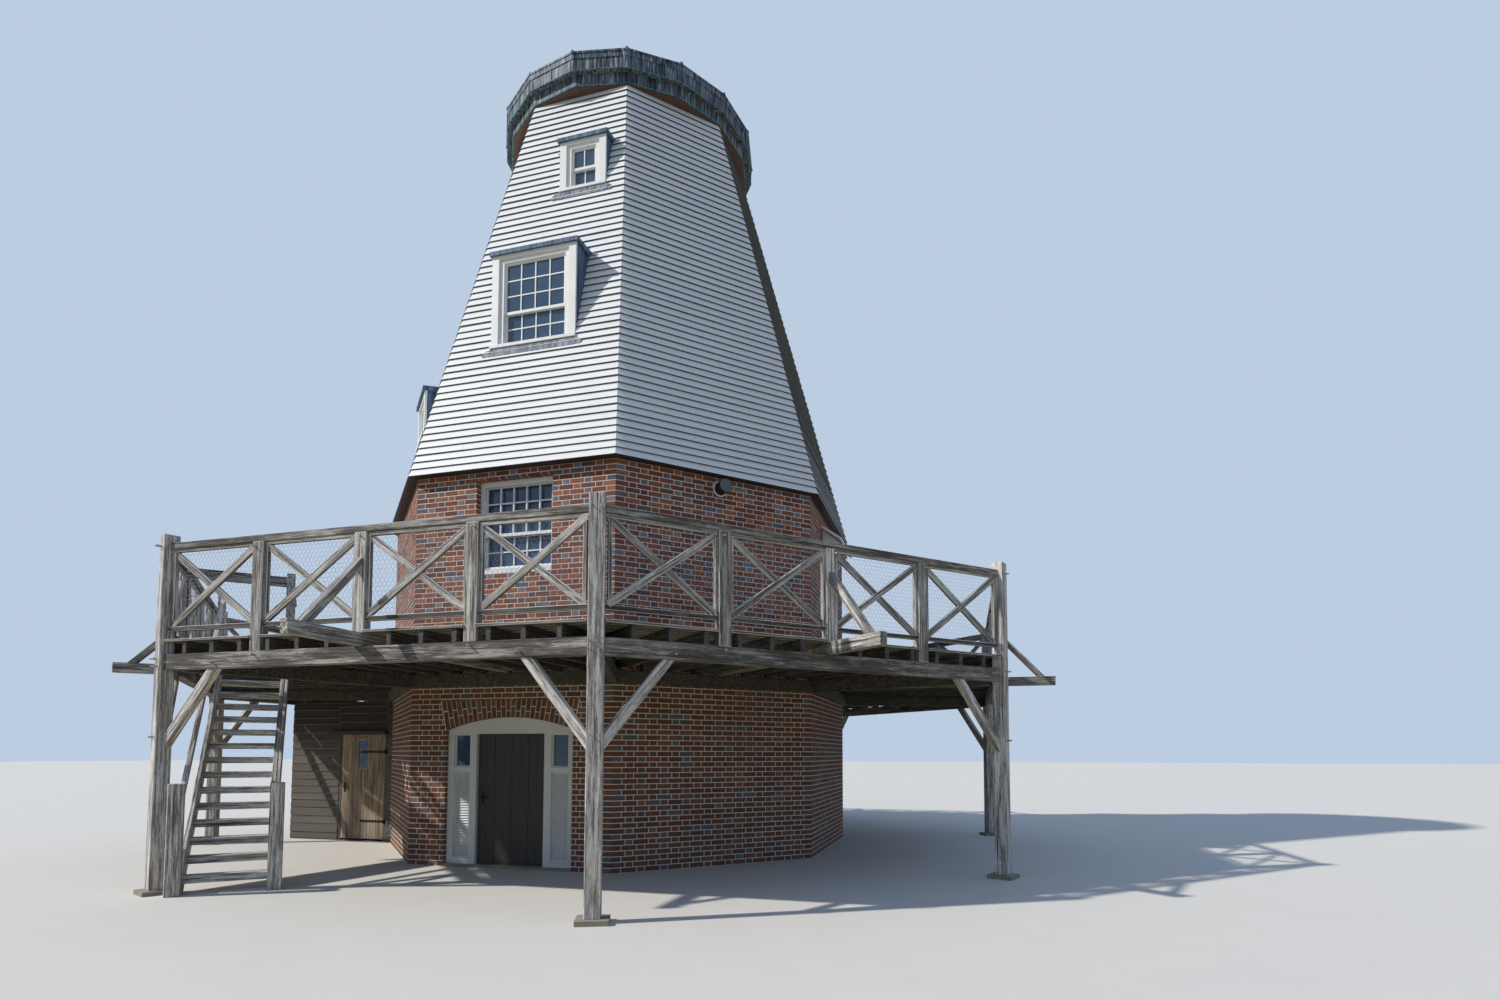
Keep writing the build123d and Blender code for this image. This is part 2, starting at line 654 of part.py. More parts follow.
def railing():
    """Bay posts, top and low rails, side strips and the crossed bars of one side."""
    reach = STAGE_AP * MITRE
    face = bay_post_face()
    panel = None
    for x in bay_post_centres():
        foot = BEAM_TOP + JOIST_D if x == 0 else BEAM_TOP
        post = block(x - BAY_POST / 2, x + BAY_POST / 2, face, face + BAY_POST_D,
                     foot, RAIL_TOP - RAIL_H)
        panel = post if panel is None else panel + post
    strip_y = face + (BAY_POST_D - STRIP_D) / 2
    low = DECK_TOP + LOW_RAIL_RISE
    high = RAIL_TOP - RAIL_H
    panel += between_posts(block(-reach, reach, strip_y, strip_y + STRIP_D, low, low + LOW_RAIL_H))
    panel += between_posts(block(-reach, reach, strip_y, strip_y + STRIP_D, high - STRIP, high))
    edges = [-post_end()] + bay_post_centres() + [post_end()]
    for left, right in zip(edges, edges[1:]):
        x0 = left + (BAY_POST / 2 if left != edges[0] else STRIP / 2)
        x1 = right - (BAY_POST / 2 if right != edges[-1] else STRIP / 2)
        z0, z1 = low + LOW_RAIL_H, high - STRIP
        clip = block(x0, x1, face, face + BAY_POST_D, z0, z1)
        cross_y = strip_y + STRIP_D / 2
        for a, b in (((x0, z0), (x1, z1)), ((x0, z1), (x1, z0))):
            lean = Vector(b[0] - a[0], 0, b[1] - a[1]).normalized() * CROSS_W
            start = (a[0] - lean.X, cross_y, a[1] - lean.Z)
            end = (b[0] + lean.X, cross_y, b[1] + lean.Z)
            panel += bar(start, end, CROSS_W, CROSS_D) & clip
        panel += between_posts(block(x0, x0 + STRIP, strip_y, strip_y + STRIP_D, z0, z1))
        panel += between_posts(block(x1 - STRIP, x1, strip_y, strip_y + STRIP_D, z0, z1))
    return panel


def hip_beam():
    """Beam from the brick corner out to a corner post, under the mitre of the deck."""
    r0, r1 = BASE_AP * CORNER, STAGE_AP * CORNER - POST / 2
    beam = block(-HIP_W / 2, HIP_W / 2, -r1, -r0 + HIP_W, BEAM_TOP - BEAM_D, BEAM_TOP)
    beam = Rot(0, 0, HALF) * beam
    for shift in (0, 1):
        beam -= Rot(0, 0, shift * STEP) * base_wall()
        beam -= Rot(0, 0, shift * STEP) * block(-BASE_AP, BASE_AP, -BASE_AP + BASE_T, 0, 0, BASE_H)
    return beam


def beam_clearance():
    """The two hip beams beside the south side, as a cutter."""
    z0, z1 = BEAM_TOP - BEAM_D - 1, BEAM_TOP + 1
    cut = Rot(0, 0, HALF) * block(-HIP_W / 2, HIP_W / 2, -2 * STAGE_AP, 0, z0, z1)
    return cut + mirror(cut, about=Plane.YZ)


def wall_plate():
    plate = block(-BASE_AP, BASE_AP, -BASE_AP - PLATE_W, -BASE_AP, BEAM_TOP - BEAM_D, BEAM_TOP)
    return (plate & sector(2 * STAGE_AP)) - beam_clearance()


def joist_centres():
    count = int(STAGE_AP * MITRE / JOIST_PITCH)
    return [i * JOIST_PITCH for i in range(-count, count + 1)]


def hip_joist():
    """Joist on top of a hip beam, which takes the cut ends of the short joists."""
    r0, r1 = BASE_AP * CORNER, STAGE_AP * CORNER - POST / 2
    joist = block(-JOIST_W / 2, JOIST_W / 2, -r1, -r0 + HIP_W, BEAM_TOP, BEAM_TOP + JOIST_D)
    joist = Rot(0, 0, HALF) * joist
    for shift in (0, 1):
        joist -= Rot(0, 0, shift * STEP) * base_wall()
        joist -= Rot(0, 0, shift * STEP) * block(-BASE_AP, BASE_AP, -BASE_AP + BASE_T, 0, 0, BASE_H)
    return joist


def side_joists(centres):
    """Joists square to the south side, from the wall or the hip out to the beam's face."""
    clear = sector(2 * STAGE_AP, JOIST_W / 2)
    joists = []
    for x in centres:
        if x == 0:
            continue
        joist = block(x - JOIST_W / 2, x + JOIST_W / 2, -STAGE_AP - BEAM_W / 2, -BASE_AP,
                      BEAM_TOP, BEAM_TOP + JOIST_D)
        for post_x in bay_post_centres():
            joist -= block(post_x - BAY_POST / 2, post_x + BAY_POST / 2, bay_post_face(),
                           bay_post_face() + BAY_POST_D, 0, POST_TOP)
        joists += between_posts(joist & clear).solids()
    return joists


def deck_side():
    outer, inner = STAGE_AP + BEAM_W / 2 + DECK_LIP, BASE_AP + DECK_WALL_GAP
    z1 = DECK_TOP
    deck = slab([(-outer * MITRE, -outer), (outer * MITRE, -outer),
                 (inner * MITRE, -inner), (-inner * MITRE, -inner)], z1 - DECK_T, z1)
    deck = deck & sector(2 * STAGE_AP, DECK_MITRE_GAP / 2)
    for x in bay_post_centres():
        deck -= block(x - BAY_POST / 2, x + BAY_POST / 2, bay_post_face(),
                      bay_post_face() + BAY_POST_D, 0, POST_TOP)
    notch = corner_place(STAGE_AP * CORNER) * block(-POST / 2, POST / 2, -2 * POST, POST / 2, 0, POST_TOP)
    return deck - notch - mirror(notch, about=Plane.YZ)


def knee_braces():
    """Braces from a corner post up to the beam on each side of it, on the south side."""
    x_post = post_end()
    z1 = BEAM_TOP - BEAM_D
    start = (x_post + KNEE_OVERRUN * KNEE_ALONG, -STAGE_AP, z1 - (1 + KNEE_OVERRUN) * KNEE_DOWN)
    end = (x_post - (1 + KNEE_OVERRUN) * KNEE_ALONG, -STAGE_AP, z1 + KNEE_OVERRUN * KNEE_DOWN)
    brace = bar(start, end, KNEE_W, KNEE_D)
    brace = between_posts(brace) & block(-STAGE_AP, STAGE_AP, -2 * STAGE_AP, 0, 0, z1)
    return [brace, mirror(brace, about=Plane.YZ)]


def outrigger():
    """Middle joist of a side, run out over the beam to carry the strut of the rail."""
    return block(-ARM_W / 2, ARM_W / 2, -STAGE_AP - ARM_REACH, -BASE_AP,
                 BEAM_TOP, BEAM_TOP + JOIST_D)


def strut():
    foot = (0, -STAGE_AP - STRUT_FOOT, BEAM_TOP + JOIST_D)
    head = (0, bay_post_face(), STRUT_TOP)
    lean = Vector(0, head[1] - foot[1], head[2] - foot[2]).normalized() * 2 * STRUT_W
    piece = bar((0, foot[1] - lean.Y, foot[2] - lean.Z), (0, head[1] + lean.Y, head[2] + lean.Z),
                STRUT_W, STRUT_W, outward=(1, 0, 0))
    keep = block(-STRUT_W, STRUT_W, -2 * STAGE_AP, bay_post_face(), BEAM_TOP + JOIST_D, RAIL_TOP)
    return piece & keep


def stair_well(rim=0):
    """The opening over the stair in the south-west part of the deck, grown by rim all round."""
    return block(stair_end() - rim, WELL_START + rim, -STAIR_FACE - rim, -STAIR_FACE + STAIR_W + rim,
                 0, POST_TOP)


def trimmer_centres():
    """Middle lines of the two long joists beside the stair's opening."""
    return stair_end() - JOIST_W / 2, WELL_START + JOIST_W / 2


def well_trimmers():
    """Two joists beside the stair's opening and the two cross pieces between them."""
    z0, z1 = BEAM_TOP, BEAM_TOP + JOIST_D
    inner = -STAIR_FACE + STAIR_W
    frame = block(stair_end(), WELL_START, inner, inner + JOIST_W, z0, z1)
    frame += block(stair_end(), WELL_START, -STAIR_FACE - JOIST_W, -STAIR_FACE, z0, z1)
    for x in trimmer_centres():
        frame += block(x - JOIST_W / 2, x + JOIST_W / 2, -STAGE_AP - BEAM_W / 2, -BASE_AP, z0, z1)
    return frame & sector(2 * STAGE_AP, JOIST_W / 2)


def joists_beside_stair():
    """Joists of the stair's side, cut at its opening and left out where a trimmer stands instead."""
    centres = [x for x in joist_centres() if all(abs(x - t) > JOIST_W for t in trimmer_centres())]
    return [part for j in side_joists(centres) for part in (j - stair_well(JOIST_W)).solids()]


def make_stage():
    save("stage_posts", *[turned(corner_post(), s) for s in NAMES])
    pad = corner_place(STAGE_AP * CORNER) * block(-PAD / 2, PAD / 2, -PAD / 2, PAD / 2, 0, PAD_H)
    save("pad_stones", *[turned(pad, s) for s in NAMES])
    beam, rail, lattice = perimeter_beam(), hand_rail(), railing()
    save("stage_beams", *[turned(beam, s) for s in NAMES])
    save("hand_rails", *[turned(rail, s) for s in NAMES])
    save("railing_lattices", *[turned(lattice, s) for s in NAMES])
    save("hip_beams", *[turned(hip_beam(), s) for s in NAMES])
    save("wall_plates", *[turned(wall_plate(), s) for s in NAMES])
    save("hip_joists", *[turned(hip_joist(), s) for s in NAMES])
    others = [s for s in NAMES if s != "south_west"]
    joists = [turned(j, s) for s in others for j in side_joists(joist_centres())]
    save("joists", *joists, *[turned(j, "south_west") for j in joists_beside_stair()])
    save("stairwell_trimmers", turned(well_trimmers(), "south_west"))
    save("deck", *[turned(deck_side(), s) for s in others])
    save("deck_over_stair", turned(deck_side() - stair_well(), "south_west"))
    save("knee_braces", *[turned(b, s) for s in NAMES for b in knee_braces()])
    arms = [turned(outrigger(), s) for s in others]
    save("outriggers", *arms, *turned(outrigger() - stair_well(JOIST_W), "south_west").solids())
    save("rail_struts", *[turned(strut(), s) for s in NAMES])


# Stair
def rise():
    return DECK_TOP / (TREADS + 1)


def stair_end():
    """Along the side, where the top riser meets the deck."""
    return STAIR_START - TREADS * GOING


def stair_treads():
    treads = []
    for i in range(TREADS):
        x, z = STAIR_START - i * GOING, (i + 1) * rise()
        treads.append(block(x - TREAD_D, x, -STAIR_FACE + STRING_T, -STAIR_FACE + STAIR_W - STRING_T,
                            z - TREAD_T, z))
    return treads


def pitch_line(x):
    """Height of the line through the nosings."""
    return rise() * (1 + (STAIR_START - x) / GOING)


def stair_string(y):
    """Side board of the stair, from the ground up to the trimmer."""
    x0, x1 = stair_end(), STAIR_START + STRING_FOOT
    lift = STRING_D / 2 * hypot(1, rise() / GOING)
    low, high = pitch_line(x1) - STRING_DROP, pitch_line(x0) - STRING_DROP
    body = front_profile([(x0, high - lift), (x1, low - lift), (x1, low + lift), (x0, high + lift)],
                         y, y + STRING_T)
    return body & block(x0, x1, y, y + STRING_T, 0, DECK_TOP - DECK_T)


def string_sides():
    """Near faces of the outer and the inner string."""
    return -STAIR_FACE, -STAIR_FACE + STAIR_W - STRING_T


def newel_place(y):
    """Near face of a newel that stands against the foot of the string at y."""
    return y - NEWEL + STRING_T if y == -STAIR_FACE else y


def stair_newel(y):
    x0, y0 = STAIR_START + STRING_FOOT, newel_place(y)
    return block(x0, x0 + NEWEL, y0, y0 + NEWEL, 0, NEWEL_H)


def stair_rail(y):
    """Sloping rail above a string, from its newel to its guard post."""
    x0, x1 = stair_end(), STAIR_START + STRING_FOOT
    slope = rise() / GOING
    middle = y + STRING_T / 2
    start = (x1 + STAIR_RAIL_D, middle, STAIR_RAIL_Z - STAIR_RAIL_D * slope)
    end = (x0 - STAIR_RAIL_D, middle, STAIR_RAIL_Z + (x1 - x0 + STAIR_RAIL_D) * slope)
    return bar(start, end, STAIR_RAIL_D, STRING_T) & block(x0, x1, y, y + STRING_T, 0, POST_TOP)


def guard_post(x, y):
    """Post on the deck whose west face is at x and whose near face is at y."""
    return block(x, x + GUARD_POST, y, y + GUARD_POST, DECK_TOP, GUARD_TOP)


def stair_guards():
    """Each sloping rail with the post at its head, and the rails along the inner side of the opening."""
    outer, inner = string_sides()
    head_x = stair_end() - GUARD_POST
    edge = -STAIR_FACE + STAIR_W
    outer_part = stair_rail(outer) + guard_post(head_x, outer - GUARD_POST + STRING_T)
    inner_part = stair_rail(inner) + guard_post(head_x, inner) + guard_post(WELL_START, edge)
    for top in (GUARD_TOP, (GUARD_TOP + DECK_TOP) / 2):
        inner_part += block(head_x, WELL_START + GUARD_POST, edge, edge + GUARD_RAIL, top - GUARD_RAIL, top)
    return [outer_part, inner_part]


def make_stair():
    def put(pieces):
        return [turned(piece, "south_west") for piece in pieces]

    sides = string_sides()
    save("stair_treads", *put(stair_treads()))
    save("stair_strings", *put([stair_string(y) for y in sides]))
    save("stair_newels", *put([stair_newel(y) for y in sides]))
    save("stair_rails", *put(stair_guards()))


# Strap hinges
def pintle(x, y, z, inward):
    """Plate, lug and pin on a frame's face at y; inward is 1 where the leaf opens inwards."""
    plate = block(x - PLATE_T, x + STRAP_W, y, y + inward * PLATE_T, z - PLATE_H / 2, z + PLATE_H / 2)
    pin_y = y + inward * PIN_OUT
    low = z - EYE_H / 2
    lug = block(x - PIN_R, x + PIN_R, y, pin_y + inward * PIN_R, low - 2 * PIN_R - EYE_GAP, low - EYE_GAP)
    pin = Pos(x, pin_y, z) * Cylinder(PIN_R, EYE_H + 4 * PIN_R)
    return plate + lug + (pin & block(x - PIN_R, x + PIN_R, pin_y - PIN_R, pin_y + PIN_R,
                                      low - 2 * PIN_R, z + EYE_H))


def strap(x, y, z, inward):
    """Strap on the leaf's face at y, cranked out to an eye round the pin."""
    pin_y = y + inward * PIN_OUT
    x_leaf = x - PIN_IN - LEAF_GAP
    piece = block(x_leaf - STRAP_L, x_leaf, y, y + inward * PLATE_T, z - STRAP_W / 2, z + STRAP_W / 2)
    piece += block(x_leaf - PIN_OUT, x_leaf, y, pin_y + inward * PIN_R, z - EYE_H / 2, z + EYE_H / 2)
    piece += block(x_leaf - PIN_OUT, x, pin_y - PIN_R, pin_y + PIN_R, z - EYE_H / 2, z + EYE_H / 2)
    piece += Pos(x, pin_y, z) * Cylinder(EYE_R, EYE_H)
    return piece - Pos(x, pin_y, z) * Cylinder(PIN_R + EYE_GAP, 2 * EYE_H)


def hinge_heights(z0, z1):
    return [z0 + share * (z1 - z0) for share in (HINGE_LOW, HINGE_HIGH)]


def handle(x, y, z, outward):
    """Lever handle on a leaf's face at y, standing off by a short stem."""
    plate = block(x - LATCH_PLATE_W / 2, x + LATCH_PLATE_W / 2, y, y + outward * LATCH_PLATE_T,
                  z - LATCH_PLATE_H / 2, z + LATCH_PLATE_H / 2)
    stem = Pos(x, y + outward * STEM_L / 2, z) * Rot(90, 0, 0) * Cylinder(STEM_R, STEM_L)
    lever = block(x - STEM_R, x + LEVER_L, y + outward * LEVER_OUT, y + outward * (LEVER_OUT + LEVER_T),
                  z - LEVER_H / 2, z + LEVER_H / 2)
    return plate + stem + lever


# Store
def store_door_frame():
    """Frame of the plank door with the projecting lintel board over it."""
    y0, y1, top = STORE_FACE, STORE_FACE + STORE_T, STORE_DOOR_H + STORE_FRAME
    frame = block(STORE_DOOR_X0 - STORE_FRAME, STORE_DOOR_X1 + STORE_FRAME, y0, y1, 0, top)
    frame -= block(STORE_DOOR_X0, STORE_DOOR_X1, y0 - 1, y1 + 1, -1, STORE_DOOR_H)
    return frame + block(STORE_DOOR_X0 - LINTEL_OVERHANG, STORE_DOOR_X1 + STORE_FRAME,
                         y0 - LINTEL_OUT, y0, top - LINTEL_H, top)


def make_store():
    wall_x, y0, y1 = -BASE_AP, STORE_FACE, STORE_FACE + STORE_T
    head = STORE_DOOR_H + STORE_FRAME
    save("store_long_walls",
         block(STORE_X, STORE_DOOR_X0 - STORE_FRAME, y0, y1, 0, head),
         block(STORE_DOOR_X1 + STORE_FRAME, wall_x, y0, y1, 0, head),
         block(STORE_X, wall_x, -y1, -y0, 0, STORE_TOP))
    save("store_front_over", block(STORE_X, wall_x, y0, y1, head, STORE_TOP))
    save("store_west_wall", block(STORE_X, STORE_X + STORE_T, y1, -y1, 0, STORE_TOP))
    save("store_roof", block(STORE_X, wall_x, y0, -y0, STORE_TOP, STORE_TOP + STORE_ROOF_T))
    save("store_door_frame", store_door_frame())
    z0, z1 = STORE_SILL, STORE_DOOR_H - LEAF_GAP
    save("store_door", block(STORE_DOOR_X0 + LEAF_GAP, STORE_DOOR_X1 - LEAF_GAP,
                             y0, y0 + STORE_LEAF_T, z0, z1))
    pin_x = STORE_DOOR_X1 + PIN_IN
    heights = hinge_heights(z0, z1)
    save("store_door_pins", *[pintle(pin_x, y0, z, -1) for z in heights])
    latch = handle(STORE_DOOR_X0 + LATCH_IN, y0, HANDLE_Z, -1)
    save("store_door_ironwork", *[strap(pin_x, y0, z, -1) for z in heights], latch)


make_base()
make_smock()
make_box_windows()
make_sash_windows()
make_cap()
make_floors()
make_main_door()
make_stage_doors()
make_stage()
make_stair()
make_store()
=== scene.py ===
import math
import random

import bmesh
import bpy
from mathutils import Matrix, Vector


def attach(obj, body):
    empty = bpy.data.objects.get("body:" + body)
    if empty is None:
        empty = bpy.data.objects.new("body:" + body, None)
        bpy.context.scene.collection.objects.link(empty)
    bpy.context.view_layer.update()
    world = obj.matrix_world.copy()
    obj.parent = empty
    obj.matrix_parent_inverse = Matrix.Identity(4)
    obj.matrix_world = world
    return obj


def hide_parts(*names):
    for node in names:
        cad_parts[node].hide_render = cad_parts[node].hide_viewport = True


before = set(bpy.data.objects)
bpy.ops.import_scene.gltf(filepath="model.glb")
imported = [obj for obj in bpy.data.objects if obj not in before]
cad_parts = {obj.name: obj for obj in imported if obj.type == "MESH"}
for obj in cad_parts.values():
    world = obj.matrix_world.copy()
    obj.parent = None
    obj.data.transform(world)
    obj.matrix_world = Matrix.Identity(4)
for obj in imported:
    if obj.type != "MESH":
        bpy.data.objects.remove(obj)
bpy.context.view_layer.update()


def added(name, data):
    """A new object of the scene, from a mesh, a lamp or a camera."""
    made = bpy.data.objects.new(name, data)
    bpy.context.scene.collection.objects.link(made)
    return made


def meshed(name, corners, faces, material=None):
    """A new mesh from its corners and faces."""
    mesh = bpy.data.meshes.new(name)
    mesh.from_pydata(corners, [], faces)
    if material:
        mesh.materials.append(material)
    return mesh


# Standpoint: an eye 1.6 m above the ground, south-east of the mill, with the horizon low in the
# picture. The mill stands on a plain pale floor under a warm sun from the left and a pale sky,
# which is seen a little bluer than it lights.
EYE = (6.212, -13.447, 1.62)
EYE_TURN, EYE_PITCH, EYE_ROLL = 0.272, 0.056, 0.002
LENS, LENS_RISE = 18.4526, 0.1403
SUN_FROM, SUN_HEIGHT = math.radians(240), math.radians(37.5)        # compass of the model: from +Y, clockwise
SUN_POWER, SKY_POWER = 3.8, 0.53
FLOOR = 150
bpy.context.scene.view_settings.view_transform = "Standard"

eye_data = bpy.data.cameras.new("eye")
eye_data.lens, eye_data.sensor_width, eye_data.shift_y, eye_data.clip_end = LENS, 36, LENS_RISE, 400
eye = added("eye", eye_data)
ahead = Vector((-math.sin(EYE_TURN) * math.cos(EYE_PITCH), math.cos(EYE_TURN) * math.cos(EYE_PITCH),
                math.sin(EYE_PITCH)))
level = Vector((math.cos(EYE_TURN), math.sin(EYE_TURN), 0))
upright = level.cross(ahead)
right = math.cos(EYE_ROLL) * level + math.sin(EYE_ROLL) * upright
above = -math.sin(EYE_ROLL) * level + math.cos(EYE_ROLL) * upright
eye.matrix_world = Matrix.Translation(EYE) @ Matrix((right, above, -ahead)).transposed().to_4x4()
bpy.context.scene.camera = eye

sun_data = bpy.data.lights.new("sun", "SUN")
sun_data.energy, sun_data.angle, sun_data.color = SUN_POWER, math.radians(1.2), (1.0, 0.96, 0.9)
sun = added("sun", sun_data)
toward = Vector((math.sin(SUN_FROM), math.cos(SUN_FROM), 0)) * math.cos(SUN_HEIGHT)
toward += Vector((0, 0, math.sin(SUN_HEIGHT)))
sun.rotation_mode = "QUATERNION"
sun.rotation_quaternion = toward.to_track_quat("Z", "Y")


def tint(code):
    """A colour written as on a paint card, such as a85c40, as the light it gives back."""
    parts = [int(code[i:i + 2], 16) / 255 for i in (0, 2, 4)]
    return tuple(p / 12.92 if p <= 0.04045 else ((p + 0.055) / 1.055) ** 2.4 for p in parts)


class Strand:
    """One value that runs through a tree of nodes. A sum of strands adds its Math nodes."""

    def __init__(self, works, socket):
        self.works, self.socket = works, socket

    def worked(self, operation, first, second):
        return self.works.node("ShaderNodeMath", {"operation": operation}, {0: first, 1: second})

    def __add__(self, other):
        return self.worked("ADD", self, other)

    def __sub__(self, other):
        return self.worked("SUBTRACT", self, other)

    def __rsub__(self, other):
        return self.worked("SUBTRACT", other, self)

    def __mul__(self, other):
        return self.worked("MULTIPLY", self, other)

    __radd__, __rmul__ = __add__, __mul__

    def least(self, other):
        return self.worked("MINIMUM", self, other)

    def most(self, other):
        return self.worked("MAXIMUM", self, other)


class Works:
    """A tree of nodes, where one method adds any node: its kind, its settings, then its sockets."""

    def __init__(self, tree):
        self.tree = tree

    def node(self, kind, settings=None, sockets=None, out=0):
        made = self.tree.nodes.new(kind)
        for name, value in (settings or {}).items():
            setattr(made, name, value)
        for key, value in (sockets or {}).items():
            socket = made.inputs[key]
            if isinstance(value, Strand):
                self.tree.links.new(value.socket, socket)
            elif socket.type == "RGBA":
                socket.default_value = (*(tint(value) if isinstance(value, str) else value), 1)
            else:
                socket.default_value = value
        return Strand(self, made.outputs[out])

    def vectors(self, operation, first, second):
        key = "Scale" if operation == "SCALE" else 1
        return self.node("ShaderNodeVectorMath", {"operation": operation}, {0: first, key: second})

    def split(self, where, axis):
        return self.node("ShaderNodeSeparateXYZ", None, {0: where}, out=axis)

    def eye_ray(self):
        """1 for what the eye sees, straight, in a mirror or through a pane; 0 for the light that falls."""
        ray = self.tree.nodes.new("ShaderNodeLightPath")
        straight, mirrored, through = (Strand(self, ray.outputs["Is %s Ray" % kind])
                                       for kind in ("Camera", "Glossy", "Transmission"))
        return straight.most(mirrored).most(through)


class Finish(Works):
    """A material made of strands that end in one shader."""

    def __init__(self, name, **steady):
        self.material = bpy.data.materials.new(name)
        self.material.use_nodes = True
        super().__init__(self.material.node_tree)
        self.shader = self.tree.nodes["Principled BSDF"]
        for socket, value in steady.items():
            self.shader.inputs[socket.replace("_", " ")].default_value = value
        self.place = self.node("ShaderNodeTexCoord", out="Object")
        self.grain, self.spot, self.tone = (
            self.node("ShaderNodeAttribute", {"attribute_name": layer}, out=out)
            for layer, out in (("grain", "Vector"), ("spot", "Vector"), ("tone", "Fac")))

    def noise(self, scale, detail=3.0, rough=0.55, where=None):
        """Cloudy pattern; scale is cells to the metre, one number or one for each direction."""
        where = where or self.place
        if isinstance(scale, tuple):
            where, scale = self.vectors("MULTIPLY", where, scale), 1.0
        return self.node("ShaderNodeTexNoise", None,
                         {"Vector": where, "Scale": scale, "Detail": detail, "Roughness": rough})

    def fibre(self, scale, detail=3.0, rough=0.55):
        """The same pattern along the grain of each timber."""
        return self.noise(scale, detail, rough, self.grain)

    def step(self, value, low, high):
        """0 below low, 1 above high, with a soft edge."""
        return self.node("ShaderNodeMapRange", {"interpolation_type": "SMOOTHSTEP"},
                         {"Value": value, "From Min": low, "From Max": high})

    def blend(self, share, first, second):
        return self.node("ShaderNodeMix", {"data_type": "RGBA"}, {0: share, 6: first, 7: second}, out=2)

    def over(self, colour, *coats):
        """Lays further colours over a first one, each with its share."""
        for share, code in coats:
            colour = self.blend(share, colour, code)
        return colour

    def ramp(self, share, stops):
        """A row of colours, each with its place."""
        row = self.node("ShaderNodeValToRGB", None, {0: share})
        elements = row.socket.node.color_ramp.elements
        elements.remove(elements[1])
        for place, code in stops:
            stop = elements[0] if place == stops[0][0] else elements.new(place)
            stop.position, stop.color = place, (*tint(code), 1)
        return row

    def wears(self, colour, rough=None, height=None, depth=0.002):
        """Feeds what changes over the surface into the shader."""
        bump = height and self.node("ShaderNodeBump", None, {"Height": height, "Distance": depth, "Strength": 1.0})
        for strand, socket in ((colour, "Base Color"), (rough, "Roughness"), (bump, "Normal")):
            if strand:
                self.tree.links.new(strand.socket, self.shader.inputs[socket])
        return self.material


sky = bpy.data.worlds.new("sky")
sky.use_nodes = True
bpy.context.scene.world = sky
sky_works = Works(sky.node_tree)
lit = sky_works.node("ShaderNodeBackground", None, {"Color": (0.48, 0.66, 1.0), "Strength": SKY_POWER})
shown = sky_works.node("ShaderNodeBackground", None, {"Color": "bccde2", "Strength": 1.0})
sky_mix = sky_works.node("ShaderNodeMixShader", None, {0: sky_works.eye_ray(), 1: lit, 2: shown})
sky.node_tree.links.new(sky_mix.socket, sky.node_tree.nodes["World Output"].inputs["Surface"])

pale = Finish("pale_floor", Roughness=0.9)
pale_colour = pale.blend(pale.eye_ray(), "b0a480", pale.blend(pale.noise(1.5), "cfcbc3", "d6d2ca"))
floor_corners = [(x * FLOOR, y * FLOOR, 0) for x, y in ((-1, -1), (1, -1), (1, 1), (-1, 1))]
added("floor", meshed("floor", floor_corners, [(0, 1, 2, 3)], pale.wears(pale_colour)))


# Brick base: eight walls of hand-made facing bricks in Flemish bond, most of them orange red
# and many headers burnt blue grey, bedded in pale lime mortar. Each brick is cut on the mitre
# at the corners and round the openings, and stands 3 mm proud of the joints.
SIDES = ["south", "south_east", "east", "north_east", "north", "north_west", "west", "south_west"]
MITRE, CORNER = math.tan(math.radians(22.5)), math.cos(math.radians(22.5))
BASE_AP, BASE_H = 3.9, 5.7
COURSE, JOINT = 0.075, 0.012
STRETCHER, HEADER = 0.215, 0.1025
BRICK_PROUD, BRICK_DEEP, BRICK_LAP = 0.003, 0.10, 0.002
CLOSER = 0.018                           # shortest piece of brick worth laying
QUOIN = 0.05                             # shortest piece at a corner, which is left out for a longer neighbour
DOOR_HALF, DOOR_SPRING, DOOR_CROWN = 1.02, 1.955, 2.13
ARCH_TOP, ARCH_SKEW = 2.375, 0.092
SASH_X, SASH_HALF, SASH_SILL, SASH_HEAD = 0.025, 0.62, 4.19, 5.585
STAGE_DOOR_HALF, DECK_TOP, STAGE_DOOR_HEAD = 0.48, 2.925, 5.175
STRAIGHT = (0, 0, 0)                     # the turn of a piece that lies square


def bearing(side):
    """How far a side is turned from the south."""
    return math.radians(45 * SIDES.index(side))


def turned(points, angle):
    """Points carried round the mill's axis."""
    spin = Matrix.Rotation(angle, 3, "Z")
    return [tuple(spin @ Vector(point)) for point in points]


def carried(count):
    """Faces of an outline of so many corners, seen from the front, that is carried back."""
    sides = [(i, i + count, (i + 1) % count + count, (i + 1) % count) for i in range(count)]
    return [tuple(range(count)), tuple(range(2 * count - 1, count - 1, -1)), *sides]


def block(low, high, taper=1.0):
    """A closed block; the top of its front is drawn back to taper of its depth."""
    (x0, y0, z0), (x1, y1, z1) = low, high
    y_top = y1 - (y1 - y0) * taper
    corners = [(x0, y0, z0), (x1, y0, z0), (x1, y1, z0), (x0, y1, z0),
               (x0, y_top, z1), (x1, y_top, z1), (x1, y1, z1), (x0, y1, z1)]
    return corners, [(0, 3, 2, 1), (4, 5, 6, 7), (0, 1, 5, 4), (1, 2, 6, 5), (2, 3, 7, 6), (3, 0, 4, 7)]


def noted(mesh, key, values):
    """Writes one number or one vector at each corner."""
    if isinstance(values[0], tuple):
        layer = mesh.attributes.new(key, "FLOAT_VECTOR", "POINT")
        layer.data.foreach_set("vector", [c for value in values for c in value])
    else:
        mesh.attributes.new(key, "FLOAT", "POINT").data.foreach_set("value", values)


